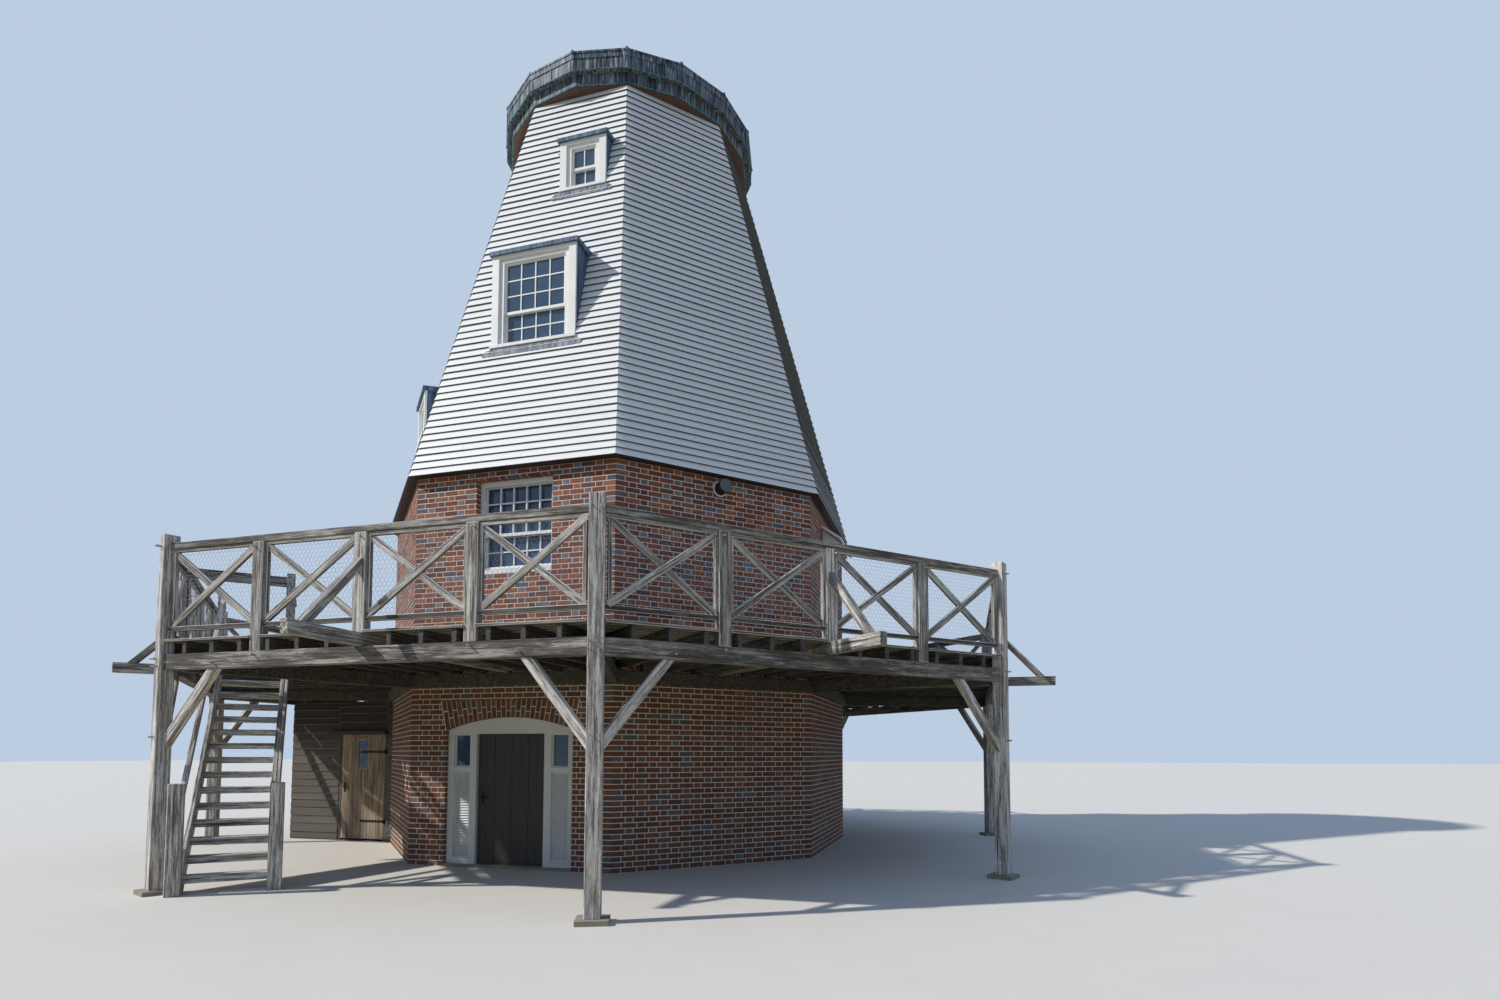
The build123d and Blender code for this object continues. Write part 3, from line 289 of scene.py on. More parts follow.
def unit(name, corners, faces):
    """A shape one metre each way about its middle, which remembers where each corner is."""
    mesh = meshed(name, corners, faces)
    noted(mesh, "grain", corners)
    noted(mesh, "spot", corners)
    return added(name, mesh)


def laying_tree():
    """Lays one unit at every point, cuts it on the mitre of the side and turns it to its side."""
    tree = bpy.data.node_groups.new("laying", "GeometryNodeTree")
    for name, kind in (("Geometry", "Geometry"), ("Unit", "Object"), ("Mitre", "Float"), ("Mitre gap", "Float"),
                       ("Unevenness", "Float"), ("Seed", "Int"), ("Finish", "Material")):
        tree.interface.new_socket(name=name, in_out="INPUT", socket_type="NodeSocket" + kind)
    tree.interface.new_socket(name="Geometry", in_out="OUTPUT", socket_type="NodeSocketGeometry")
    works = Works(tree)
    entry = {socket.name: Strand(works, socket) for socket in tree.nodes.new("NodeGroupInput").outputs
             if socket.name}

    def named(name, kind="FLOAT_VECTOR"):
        return works.node("GeometryNodeInputNamedAttribute", {"data_type": kind}, {"Name": name})

    shape = works.node("GeometryNodeObjectInfo", None, {"Object": entry["Unit"]}, out="Geometry")
    spin = works.node("FunctionNodeRandomValue", {"data_type": "FLOAT_VECTOR"},
                      {0: (-1, -1, -1), 1: (1, 1, 1), "Seed": entry["Seed"]})
    turn = works.vectors("ADD", named("turn"), works.vectors("SCALE", spin, entry["Unevenness"]))
    solid = works.node("GeometryNodeInstanceOnPoints", None,
                       {"Points": entry["Geometry"], "Instance": shape, "Rotation": turn, "Scale": named("size")})
    solid = works.node("GeometryNodeRealizeInstances", None, {"Geometry": solid})
    own = works.vectors("SCALE", (37.0, 23.0, 11.0), named("tone", "FLOAT"))
    own = works.vectors("ADD", works.vectors("MULTIPLY", named("grain"), named("size")), own)
    solid = works.node("GeometryNodeStoreNamedAttribute", {"data_type": "FLOAT_VECTOR", "domain": "POINT"},
                       {"Geometry": solid, "Name": "grain", "Value": own})
    where = works.node("GeometryNodeInputPosition")
    x, y, z = (works.split(where, axis) for axis in range(3))
    edge = (y * -1.0) * entry["Mitre"] - entry["Mitre gap"]
    cut = works.node("ShaderNodeCombineXYZ", None, {0: x.least(edge).most(edge * -1.0), 1: y, 2: z})
    placed = works.node("ShaderNodeVectorRotate", {"rotation_type": "Z_AXIS"},
                        {"Vector": cut, "Angle": named("side", "FLOAT")})
    solid = works.node("GeometryNodeSetPosition", None, {"Geometry": solid, "Position": placed})
    solid = works.node("GeometryNodeSetMaterial", None, {"Geometry": solid, "Material": entry["Finish"]})
    tree.links.new(solid.socket, tree.nodes.new("NodeGroupOutput").inputs[0])
    return tree


LAYING = laying_tree()
UNCUT = 1000.0


def laid(name, pieces, shape, finish, mitre=UNCUT, gap=0.0, uneven=0.0, seed=1):
    """A plain mesh of many pieces, each (side, middle, size, turn, tone) of one unit."""
    sides, middles, sizes, turns, tones = zip(*pieces)
    points = meshed(name + "_points", middles, [])
    for key, values in (("size", sizes), ("turn", turns), ("side", [bearing(s) for s in sides]), ("tone", tones)):
        noted(points, key, values)
    holder = added(name + "_points", points)
    work = holder.modifiers.new("laying", "NODES")
    work.node_group = LAYING
    given = {"Unit": shape, "Mitre": float(mitre), "Mitre gap": float(gap), "Unevenness": float(uneven),
             "Seed": seed, "Finish": finish}
    for item in LAYING.interface.items_tree:
        if item.in_out == "INPUT" and item.name in given:
            work[item.identifier] = given[item.name]
    bpy.context.view_layer.update()
    mesh = bpy.data.meshes.new_from_object(holder.evaluated_get(bpy.context.evaluated_depsgraph_get()))
    mesh.name = name
    holder.modifiers.remove(work)
    bpy.data.objects.remove(holder)
    for key in ("size", "turn", "side"):
        if key in mesh.attributes:
            mesh.attributes.remove(mesh.attributes[key])
    return added(name, mesh)


def stands(piece, slot, *nodes, body="mill"):
    """Fixes a finished piece to its body and hides the solids it stands for; slot, the record's finish, is not used.
    """
    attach(piece, body)
    if nodes:
        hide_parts(*nodes)


def coat(material, *nodes):
    """Gives solids that stay as they are their own material."""
    for node in nodes:
        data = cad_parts[node].data
        data.materials.clear()
        data.materials.append(material)


# Openings of each side, as the bricklayer meets them: left, right, foot and head.
doorway = (-DOOR_HALF, DOOR_HALF, -0.1, DOOR_SPRING)
sash_opening = (SASH_X - SASH_HALF, SASH_X + SASH_HALF, SASH_SILL, SASH_HEAD)
stage_opening = (-STAGE_DOOR_HALF, STAGE_DOOR_HALF, DECK_TOP, STAGE_DOOR_HEAD)
openings = {"south": [doorway, sash_opening], "north": [sash_opening],
            "east": [stage_opening], "west": [stage_opening]}


def course_openings(side, z):
    """What interrupts the course that starts at z, with the leaning ends of the arch."""
    found = list(openings.get(side, []))
    if side == "south" and DOOR_SPRING - 0.01 <= z < ARCH_TOP:
        lean = ARCH_SKEW * (z + COURSE / 2 - DOOR_SPRING) / (ARCH_TOP - DOOR_SPRING)
        found.append((-DOOR_HALF - lean - JOINT, DOOR_HALF + lean + JOINT, DOOR_SPRING - 0.01, ARCH_TOP))
    return found


def bond(side, draw):
    """Every brick of one wall: middle, size and tone."""
    bricks = []
    half = (BASE_AP + BRICK_PROUD) * MITRE
    cell = STRETCHER + HEADER + 2 * JOINT
    for k in range(round(BASE_H / COURSE)):
        z0 = k * COURSE + JOINT / 2
        x = -cell * 6 + (cell / 2 if k % 2 else 0) - STRETCHER / 2
        runs = []
        while x < half:
            runs += [(x, x + STRETCHER, False), (x + STRETCHER + JOINT, x + STRETCHER + JOINT + HEADER, True)]
            x += cell
        runs = [(max(a, -half), min(b, half), header) for a, b, header in runs
                if b > QUOIN - half and a < half - QUOIN]
        runs[0] = (-half, *runs[0][1:])
        runs[-1] = (runs[-1][0], half, runs[-1][2])
        for left, right, is_header in runs:
            spans = [(left, right, z0, z0 + COURSE - JOINT)]
            for o_left, o_right, foot, head in course_openings(side, z0):
                kept = []
                for a, b, low, high in spans:
                    if high <= foot + JOINT or low >= head - 0.004 or b <= o_left or a >= o_right:
                        kept.append((a, b, low, high))
                        continue
                    kept += [(a, min(b, o_left + BRICK_LAP), low, high), (max(a, o_right - BRICK_LAP), b, low, high),
                             (max(a, o_left), min(b, o_right), max(low, head - BRICK_LAP), high)]
                spans = [s for s in kept if s[1] - s[0] > CLOSER and s[3] - s[2] > CLOSER]
            for a, b, low, high in spans:
                burnt = draw.random() < (0.42 if is_header else 0.07)
                tone = draw.uniform(0.68, 1.0) if burnt else draw.uniform(0.0, 0.6)
                middle = ((a + b) / 2, -BASE_AP - BRICK_PROUD + draw.uniform(0, 0.0015) + BRICK_DEEP / 2,
                          (low + high) / 2)
                bricks.append((side, middle, (b - a, BRICK_DEEP, high - low), STRAIGHT, tone))
    return bricks


brick = Finish("facing_brick", Roughness=0.85)
brick_grit, brick_cloud = brick.noise(90.0, 4.0, 0.65), brick.noise(14.0)
# Bricks below the deck are blended toward a dark olive brown: painted shade under the stage.
shade_under_stage = 1.0 - brick.step(brick.split(brick.place, 2), 2.6, 2.95)
brick_colour = brick.ramp(brick.tone, ((0.0, "6e3b2e"), (0.16, "8b5139"), (0.3, "a06446"), (0.42, "60362d"),
                                       (0.56, "7b4837"), (0.64, "4c3532"), (0.72, "585a63"), (0.86, "7d8089"),
                                       (1.0, "41454f")))
brick_colour = brick.over(brick_colour, (brick.step(brick_cloud, 0.42, 0.7) * 0.4, "633d33"),
                          (brick.step(brick_grit, 0.6, 0.78) * 0.4, "ad8b78"),
                          (brick.step(brick.noise(0.8), 0.55, 0.75) * 0.25, "5d4a42"), (shade_under_stage * 0.45, "5a4a3a"))
brick_material = brick.wears(brick_colour, 0.75 + 0.2 * brick_grit, brick_grit + brick_cloud, 0.003)

HALVES = (-0.5, -0.5, -0.5), (0.5, 0.5, 0.5)
block_unit = unit("block_unit", *block(*HALVES))
draw = random.Random(11)
bricks = [b for side in SIDES for b in bond(side, draw)]
stands(laid("facing_bricks", bricks, block_unit, brick_material, mitre=MITRE, uneven=0.006, seed=3), "brick")

mortar = Finish("lime_mortar", Roughness=0.95)
mortar_grit = mortar.noise(160.0, 3.0, 0.7)
mortar_colour = mortar.over(mortar.blend(mortar_grit, "dccfc0", "f8f1e7"),
                            (mortar.step(mortar.noise(1.1), 0.45, 0.7) * 0.35, "a99a8b"))
coat(mortar.wears(mortar_colour, None, mortar_grit), "base_front_over_door", "base_front_piers", "base_wall_north",
     "base_walls_plain", "base_walls_with_stage_doors", "door_arch")


# Door arch: soldiers of the same brick, bonded in two lengths, rubbed to lean with the
# skewbacks, from a segmental soffit up to a flat top.
VOUSSOIRS = 27


def soffit(x):
    """Height of the segmental underside at x."""
    rise = DOOR_CROWN - DOOR_SPRING
    radius = (DOOR_HALF ** 2 + rise ** 2) / (2 * rise)
    return DOOR_CROWN - radius + math.sqrt(radius ** 2 - x ** 2)


def gathered(name, parts, material, tones=None):
    """One mesh from many small ones, each a list of corners and one of faces."""
    corners, faces, shades = [], [], []
    for index, (part, sides) in enumerate(parts):
        faces += [tuple(len(corners) + i for i in face) for face in sides]
        corners += part
        shades += [tones[index] if tones else 0.5] * len(part)
    mesh = meshed(name, corners, faces, material)
    noted(mesh, "tone", shades)
    return added(name, mesh)


def outward(piece):
    """Turns every face of a closed mesh to face outwards."""
    shell = bmesh.new()
    shell.from_mesh(piece.data)
    bmesh.ops.recalc_face_normals(shell, faces=shell.faces)
    shell.to_mesh(piece.data)
    shell.free()
    return piece


voussoirs, shades = [], []
for i in range(VOUSSOIRS):
    ends = []
    for j, gap in ((i, JOINT * 0.45), (i + 1, JOINT * -0.45)):
        low_x = -DOOR_HALF + 2 * DOOR_HALF * j / VOUSSOIRS
        high_x = low_x * (DOOR_HALF + ARCH_SKEW) / DOOR_HALF
        ends.append(((low_x + gap, soffit(low_x) - 0.003), (high_x + gap, ARCH_TOP)))
    share = 0.36 if i % 2 else 0.62
    for low, high in ((0.0, share - 0.02), (share + 0.02, 1.0)):
        outline = [[p + (q - p) * s for p, q in zip(*end)]
                   for end, s in ((ends[0], low), (ends[1], low), (ends[1], high), (ends[0], high))]
        voussoirs.append(([(x, y, z) for y in (-BASE_AP - BRICK_PROUD, -BASE_AP + BRICK_DEEP) for x, z in outline],
                          carried(4)))
        shades.append(draw.uniform(0.0, 0.62) if draw.random() < 0.85 else draw.uniform(0.7, 1.0))
stands(outward(gathered("arch_soldiers", voussoirs, brick_material, shades)), "brick")


# Smock: weatherboards of painted softwood, each lapped over the one below, with a thick lower
# edge, cut round the box windows and mitred tight where two sides of the leaning frame meet.
SMOCK_FOOT_AP, SMOCK_TOP_AP, SMOCK_H = 4.02, 2.079, 7.202
COURSES, LOWEST_BOARD = 57, 0.116         # the boards show a little more of themselves further up
BOARD_PROUD, BOARD_THIN, BUTT = 0.027, 0.2, 0.0012
LEAN = math.atan((SMOCK_FOOT_AP - SMOCK_TOP_AP) / SMOCK_H)
MIDDLE_BOX = (1.43, BASE_H + 2.1, BASE_H + 3.57, 0.0)               # width, sill, head, and middle from the side's
UPPER_BOX = (0.82, BASE_H + 5.045, BASE_H + 5.89, 0.37)
SIDE_BOX = (0.9, BASE_H + 1.17, BASE_H + 1.91, 0.0)
BOXES = {"south": [MIDDLE_BOX, UPPER_BOX], "north": [MIDDLE_BOX, UPPER_BOX],
         "south_west": [SIDE_BOX], "north_east": [SIDE_BOX]}


def smock_ap(z):
    return SMOCK_FOOT_AP - (z - BASE_H) * (SMOCK_FOOT_AP - SMOCK_TOP_AP) / SMOCK_H


def board_foot(k):
    """Height of the lower edge of board k."""
    gain = (SMOCK_H / COURSES - LOWEST_BOARD) / COURSES
    return BASE_H + k * (LOWEST_BOARD + k * gain)


def boards_of(side, draw):
    """Weatherboards of one side, from the brick up to the cap."""
    found = []
    for k in range(COURSES):
        z0, z1 = board_foot(k), board_foot(k + 1)
        half = smock_ap(z0) * MITRE + 0.05
        spans = [(-half, half, z0, z1)]
        for width, sill, head, x in BOXES.get(side, []):
            left, right = x - width / 2 - 0.004, x + width / 2 + 0.004
            kept = []
            for a, b, low, high in spans:
                if high <= sill or low >= head + 0.08 or b <= left or a >= right:
                    kept.append((a, b, low, high))
                    continue
                kept += [(a, left, low, high), (right, b, low, high)]
                if sill - low > 0.02:
                    kept.append((left, right, low, sill))
            spans = kept
        if len(spans) == 1 and draw.random() < 0.3 and half > 1.1:
            butt = draw.uniform(-0.6, 0.6) * half
            spans = [(-half, butt - BUTT, z0, z1), (butt + BUTT, half, z0, z1)]
        for a, b, low, high in spans:
            tall = (high - low) / math.cos(LEAN) * 1.01
            thick = BOARD_PROUD * draw.uniform(0.92, 1.08)
            out = smock_ap(low) + thick / 2 * math.cos(LEAN) - tall / 2 * math.sin(LEAN)
            middle = ((a + b) / 2, -out, low + tall / 2 * math.cos(LEAN) + thick / 2 * math.sin(LEAN))
            found.append((side, middle, (b - a, thick, tall), (-LEAN, 0, 0), draw.random()))
    return found


white = Finish("white_board_paint", Roughness=0.5)
white_cloud, white_streak = white.noise(2.2, 4.0, 0.6), white.noise((5.0, 5.0, 60.0))
# The lowest strip of each board is painted near black: painted shade under its thick lower edge, with some dirt.
dirt_and_shade_under_edge = white.step(white.split(white.spot, 2) * -1.0, 0.455, 0.475)
# Below the foot of the boards the paint turns dark brown: the sole plate's own colour, with painted shade in the gap
# over the brick.
above_sole_and_shaded_gap = white.step(white.split(white.place, 2), BASE_H + 0.001, BASE_H + 0.006)
white_colour = white.over(white.blend(white_cloud, "dddfdf", "ececea"), (white.tone * 0.25, "d3d6d8"),
                          (white.step(white_streak, 0.62, 0.8) * 0.3, "b9bcb8"), (dirt_and_shade_under_edge * 0.93, "23261f"))
white_material = white.wears(white.blend(above_sole_and_shaded_gap, "3b2d24", white_colour), 0.42 + 0.25 * white_cloud,
                             white_streak, 0.0008)

wedge_unit = unit("wedge_unit", *block(*HALVES, BOARD_THIN))
draw = random.Random(23)
boards = [b for side in SIDES for b in boards_of(side, draw)]
stands(laid("weatherboards", boards, wedge_unit, white_material, mitre=MITRE, uneven=0.0008, seed=5), "smock_boards")
coat(white_material, "smock_walls_plain", "smock_walls_with_windows", "smock_cant_posts")


# Lead apron under each box window: a sheet dressed down over the boards, with splayed ends,
# and a short flashing where the box's roof meets the boards.
APRON_DROP, APRON_PROUD, EAR_PROUD, APRON_T = 0.14, 0.027, 0.0285, 0.004


def dulled_lead(name, dark, light, bloom, green):
    """Milled lead between two greys, streaked by rain with pale bloom and with green run-off."""
    lead = Finish(name, Specular_IOR_Level=0.2)
    streaks, clouds = lead.noise((22.0, 22.0, 1.1), 4.0, 0.62), lead.noise(2.6)
    colour = lead.over(lead.blend(lead.step(streaks, 0.36, 0.64), dark, light),
                       (lead.step(clouds, 0.45, 0.7) * 0.5, dark),
                       (lead.step(lead.noise((40.0, 40.0, 2.2)), 0.54, 0.68) * bloom, "b7bfc3"),
                       (lead.step(streaks + clouds, 0.85, 1.15) * green, "5f9c94"))
    return lead.wears(colour, 0.45 + 0.3 * clouds, streaks + 0.5 * clouds)


lead_material = dulled_lead("streaked_lead", "232b38", "687589", 0.85, 0.03)
cheek_lead = dulled_lead("cheek_lead", "38475c", "65779a", 0.2, 0.08)
apron_lead = dulled_lead("apron_lead", "565c67", "949ba8", 0.4, 0.0)
green_lead = dulled_lead("green_lead", "33484c", "6b8f8e", 0.3, 0.45)


def lead_patch(side, outline, proud=APRON_PROUD):
    """A thin sheet of lead lying on the leaning boards: its outline is in x and z."""
    points = [(x, -smock_ap(z) - out * math.cos(LEAN), z - out * math.sin(LEAN))
              for out in (proud, proud - APRON_T) for x, z in outline]
    return turned(points, bearing(side)), carried(len(outline))


patches = []
for side, boxes in BOXES.items():
    for width, sill, head, x in boxes:
        left, right = x - width / 2, x + width / 2
        patches.append(lead_patch(side, [(left - 0.01, sill - APRON_DROP), (right + 0.01, sill - APRON_DROP),
                                         (right + 0.015, sill), (left - 0.015, sill)]))
        for edge, out in ((left, -1), (right, 1)):
            ear = [(0, 0.125), (0.10, 0.135), (0.135, 0.11), (0.12, 0.05), (0.05, 0.015), (0, 0.01)]
            patches.append(lead_patch(side, [(edge + out * way, sill - drop) for way, drop in ear], EAR_PROUD))
            flashing = [(0.04, 0.02), (0.15, 0.005), (0.16, 0.035), (0.05, 0.10)]
            patches.append(lead_patch(side, [(edge + out * way, head + rise) for way, rise in flashing]))
stands(outward(gathered("window_aprons", patches, apron_lead)), "lead")
coat(cheek_lead, "window_boxes")


# Window joinery in white gloss: stepped casings round the box windows, sills with a nose, and
# sliding sashes whose upper half stands in front of the lower one.
gloss = Finish("white_gloss", Roughness=0.35)
gloss_cloud = gloss.noise(3.0, 4.0)
gloss_colour = gloss.over(gloss.blend(gloss_cloud, "dcdddb", "efefed"),
                          (gloss.step(gloss.noise(45.0, 2.0), 0.66, 0.8) * 0.35, "aeb0ac"))
gloss_material = gloss.wears(gloss_colour, 0.3 + 0.25 * gloss_cloud, gloss_cloud, 0.0006)

BAR, STILE, UPPER_STILE, LOWER_STILE = 0.018, 0.034, 0.042, 0.044
CASING_W, CASING_HEAD, SILL_H = 0.115, 0.055, 0.05
FRAME_W, FRAME_HEAD, FRAME_TOP, FRAME_LAP = 0.075, 0.056, 0.058, 0.005
# Depths behind a box's face, front and back: casing, frame, upper and lower sash, their panes, sill.
DEPTHS = (0, 0.035), (0.03, 0.155), (0.060, 0.092), (0.094, 0.126), (0.076, 0.080), (0.110, 0.114), (-0.03, 0.06)


def strip(side, x0, x1, y0, y1, z0, z1):
    """One straight piece of joinery between two corners, ready to be laid."""
    middle = ((x0 + x1) / 2, (y0 + y1) / 2, (z0 + z1) / 2)
    return (side, middle, (abs(x1 - x0), abs(y1 - y0), abs(z1 - z0)), STRAIGHT, 0.5)


def ring_of(side, x0, x1, z0, z1, wide, y0, y1):
    """A picture frame of four strips."""
    return [strip(side, a, b, y0, y1, low, high)
            for a, b, low, high in ((x0, x0 + wide, z0, z1), (x1 - wide, x1, z0, z1),
                                    (x0 + wide, x1 - wide, z1 - wide, z1), (x0 + wide, x1 - wide, z0, z0 + wide))]


def sash(side, x0, x1, z0, z1, y0, y1, columns, rows, stile=STILE):
    """A sash of small panes: its frame and its glazing bars."""
    found = ring_of(side, x0, x1, z0, z1, stile, y0, y1)
    left, right, low, high = x0 + stile, x1 - stile, z0 + stile, z1 - stile
    for i in range(1, columns):
        x = left + (right - left) * i / columns
        found.append(strip(side, x - BAR / 2, x + BAR / 2, y0 + 0.004, y1, low, high))
    for i in range(1, rows):
        z = low + (high - low) * i / rows
        found.append(strip(side, left, right, y0 + 0.006, y1, z - BAR / 2, z + BAR / 2))
    return found


joinery, box_panes = [], []
for side in ("south", "north"):
    left, right = SASH_X - SASH_HALF + 0.05, SASH_X + SASH_HALF - 0.05
    joinery += sash(side, left, right, 4.77, 5.535, -3.75, -3.718, 5, 3)
    joinery += sash(side, left, right, 4.31, 4.80, -3.716, -3.692, 5, 2)
    joinery += ring_of(side, left - 0.012, right + 0.012, 4.255, 5.54, 0.028, -3.806, -3.775)
for side, boxes in BOXES.items():
    for width, sill, head, x in boxes:
        front, half, large = -(smock_ap(sill) + 0.012), width / 2, width > 1.2
        casing, framed, upper, lower, upper_pane, lower_pane, nose = [(front + a, front + b) for a, b in DEPTHS]
        foot, rail = sill + SILL_H, sill + (head - sill) * (0.37 if large else 0.44)
        columns, rows_above, rows_below = (4, 3, 2) if large else (2, 1, 1)
        for s in (-1, 1):
            inner = x + s * (half - CASING_W)
            joinery.append(strip(side, x + s * half, inner, *casing, foot, head))
            joinery.append(strip(side, inner + s * 0.018, inner - s * FRAME_W, *framed, foot, head - FRAME_TOP))
        inner = half - CASING_W
        joinery.append(strip(side, x - inner, x + inner, *casing, head - CASING_HEAD, head))
        inner -= FRAME_W
        high = head - CASING_HEAD - FRAME_HEAD
        joinery.append(strip(side, x - inner, x + inner, *framed, high, head - FRAME_TOP))
        joinery.append(strip(side, x - inner, x + inner, *framed, foot, foot + 0.02))
        inner += FRAME_LAP
        high += FRAME_LAP
        joinery += sash(side, x - inner, x + inner, rail, high, *upper, columns, rows_above, UPPER_STILE)
        joinery += sash(side, x - inner, x + inner, foot + 0.015, rail + 0.042, *lower, columns, rows_below,
                        LOWER_STILE)
        joinery.append(strip(side, x - half - 0.012, x + half + 0.012, *nose, sill + 0.004, foot))
        left, right = x - inner + 0.01, x + inner - 0.01
        box_panes.append(strip(side, left, right, *upper_pane, rail + 0.01, high - 0.01))
        box_panes.append(strip(side, left, right, *lower_pane, foot + 0.02, rail + 0.04))
stands(laid("sashes", joinery, block_unit, gloss_material), "white_paint", "window_casings")
coat(gloss_material, "sash_windows", "stage_door_frames", "stage_door_hoods")

# The panes' blue colour is a painted reflection of a blue sky, varied along the waver of the glass.
pane = Finish("dark_pane", Roughness=0.03, IOR=1.5, Transmission_Weight=0.35)
pane_waver_and_reflection = pane.noise(2.4, 2.0)
pane_material = pane.wears(pane.blend(pane_waver_and_reflection, "39506e", "5b7799"), None, pane_waver_and_reflection, 0.004)
coat(pane_material, "lower_window_glass")
stands(laid("box_panes", box_panes, block_unit, pane_material), "glass", "window_box_glass")


# Cap: dark lead over a timber ring, in upright bays with welted joints, a drip at the foot of
# each band gone green, a wood-cored roll on every hip of the low roof and one red curb below.
CURB_R, FASCIA_R = SMOCK_TOP_AP / CORNER + 0.04, SMOCK_TOP_AP / CORNER + 0.135
CAP_SIDES, KNOB_R, KNOB_TALL = 16, 0.025, 1.25
CAP_FOOT = BASE_H + SMOCK_H
BAND_FOOT = CAP_FOOT + 0.19
COPING_Z = BAND_FOOT + 0.29
HALF_BAY = math.radians(180 / CAP_SIDES)


def hoop(name, section, material):
    """A moulding that follows the sixteen corners of the cap; its section is in radius and height."""
    points, faces, count = [], [], len(section)
    for i in range(CAP_SIDES):
        angle = math.radians(i * 360 / CAP_SIDES)
        points += [(out * math.cos(angle), out * math.sin(angle), z) for out, z in section]
        for j in range(count):
            k, m = (i + 1) % CAP_SIDES, (j + 1) % count
            faces.append((i * count + j, k * count + j, k * count + m, i * count + m))
    return outward(gathered(name, [(points, faces)], material))


for name, radius, z, thick in (("skirt_drip", CURB_R, CAP_FOOT + 0.006, 0.010),
                               ("band_drip", FASCIA_R, BAND_FOOT + 0.006, 0.011)):
    turns = [2 * math.pi * j / 8 for j in range(8)]
    bead = [(radius + thick * math.cos(turn), z + thick * math.sin(turn)) for turn in turns]
    stands(hoop(name, bead, green_lead), "lead")
coping = [(FASCIA_R + out, COPING_Z + rise) for out, rise in ((-0.01, -0.085), (0.012, -0.085), (0.017, 0.02),
                                                              (0.006, 0.042), (-0.05, 0.045), (-0.08, 0))]
stands(hoop("band_coping", coping, lead_material), "lead")

welts = []
for radius, low, high, shares in ((CURB_R, CAP_FOOT, BAND_FOOT, (0.0,)),
                                  (FASCIA_R, BAND_FOOT, COPING_Z, (-0.5, 0.0, 0.5))):
    apothem = radius * math.cos(HALF_BAY)
    for i in range(CAP_SIDES):
        for share in shares:
            at = share * 2 * apothem * math.tan(HALF_BAY) * 0.9
            corners, faces = block((at - 0.011, -apothem - 0.009, low + 0.01), (at + 0.011, -apothem + 0.004, high))
            welts.append((turned(corners, math.radians((i + 0.5) * 360 / CAP_SIDES)), faces))
stands(gathered("cap_welts", welts, lead_material), "lead")

knobs = []
for i in range(CAP_SIDES):
    shell = bmesh.new()
    bmesh.ops.create_uvsphere(shell, u_segments=10, v_segments=6, radius=KNOB_R)
    middle = Vector((0, -FASCIA_R - 0.012, COPING_Z + 0.018))
    points = [Vector((v.co.x, v.co.y, v.co.z * KNOB_TALL)) + middle for v in shell.verts]
    knobs.append((turned(points, math.radians(i * 360 / CAP_SIDES)),
                  sorted(tuple(v.index for v in face.verts) for face in shell.faces)))
    shell.free()
stands(gathered("roll_ends", knobs, lead_material), "lead")

# The curb's red brown is darkened into painted shade, so that the soffit under the cap reads as shadow.
curb = Finish("red_curb", Roughness=0.7)
curb_grit = curb.noise((6.0, 6.0, 40.0))
curb_material = curb.wears(curb.blend(curb_grit, "463430", "6c5048"), None, curb_grit, 0.001)
curb_section = [(2.0, CAP_FOOT - 0.012), (CURB_R - 0.018, CAP_FOOT - 0.012), (CURB_R - 0.018, CAP_FOOT - 0.001),
                (2.0, CAP_FOOT - 0.001)]
stands(hoop("cap_curb", curb_section, curb_material), "oak")
coat(lead_material, "cap_skirt", "cap_band", "cap_roof")


# Main doorway: painted grey-blue frame with a solid segmental head, a plank door and two side
# lights, each a pane over a louvre of thin slats.
painted = Finish("grey_blue_paint", Roughness=0.5)
paint_cloud, paint_wear = painted.noise(2.0, 4.0), painted.noise((20.0, 20.0, 3.0), 4.0, 0.65)
paint_colour = painted.over(painted.blend(paint_cloud, "cbcfce", "e6e8e5"),
                            (painted.step(paint_wear, 0.6, 0.75) * 0.5, "9ba1a2"))
paint_material = painted.wears(paint_colour, 0.4 + 0.3 * paint_cloud, paint_wear, 0.001)
coat(paint_material, "main_door_frame")

SLATS, LOUVRE_FOOT, LOUVRE_HEAD = 33, 0.125, 1.36
slats = []
for x0, x1 in ((-0.92, -0.655), (0.655, 0.92)):
    for i in range(SLATS):
        z = LOUVRE_FOOT + (i + 0.5) * (LOUVRE_HEAD - LOUVRE_FOOT) / SLATS
        slats.append(("south", ((x0 + x1) / 2, -3.785, z), (x1 - x0, 0.006, 0.044), (math.radians(-32), 0, 0), 0.5))
    slats += ring_of("south", x0, x1, LOUVRE_FOOT, LOUVRE_HEAD, 0.018, -3.80, -3.766)
    slats += ring_of("south", x0, x1, 1.42, 1.895, 0.02, -3.81, -3.792)
stands(laid("louvres", slats, block_unit, paint_material, uneven=0.01, seed=2), "grey_paint", "side_light_slats")

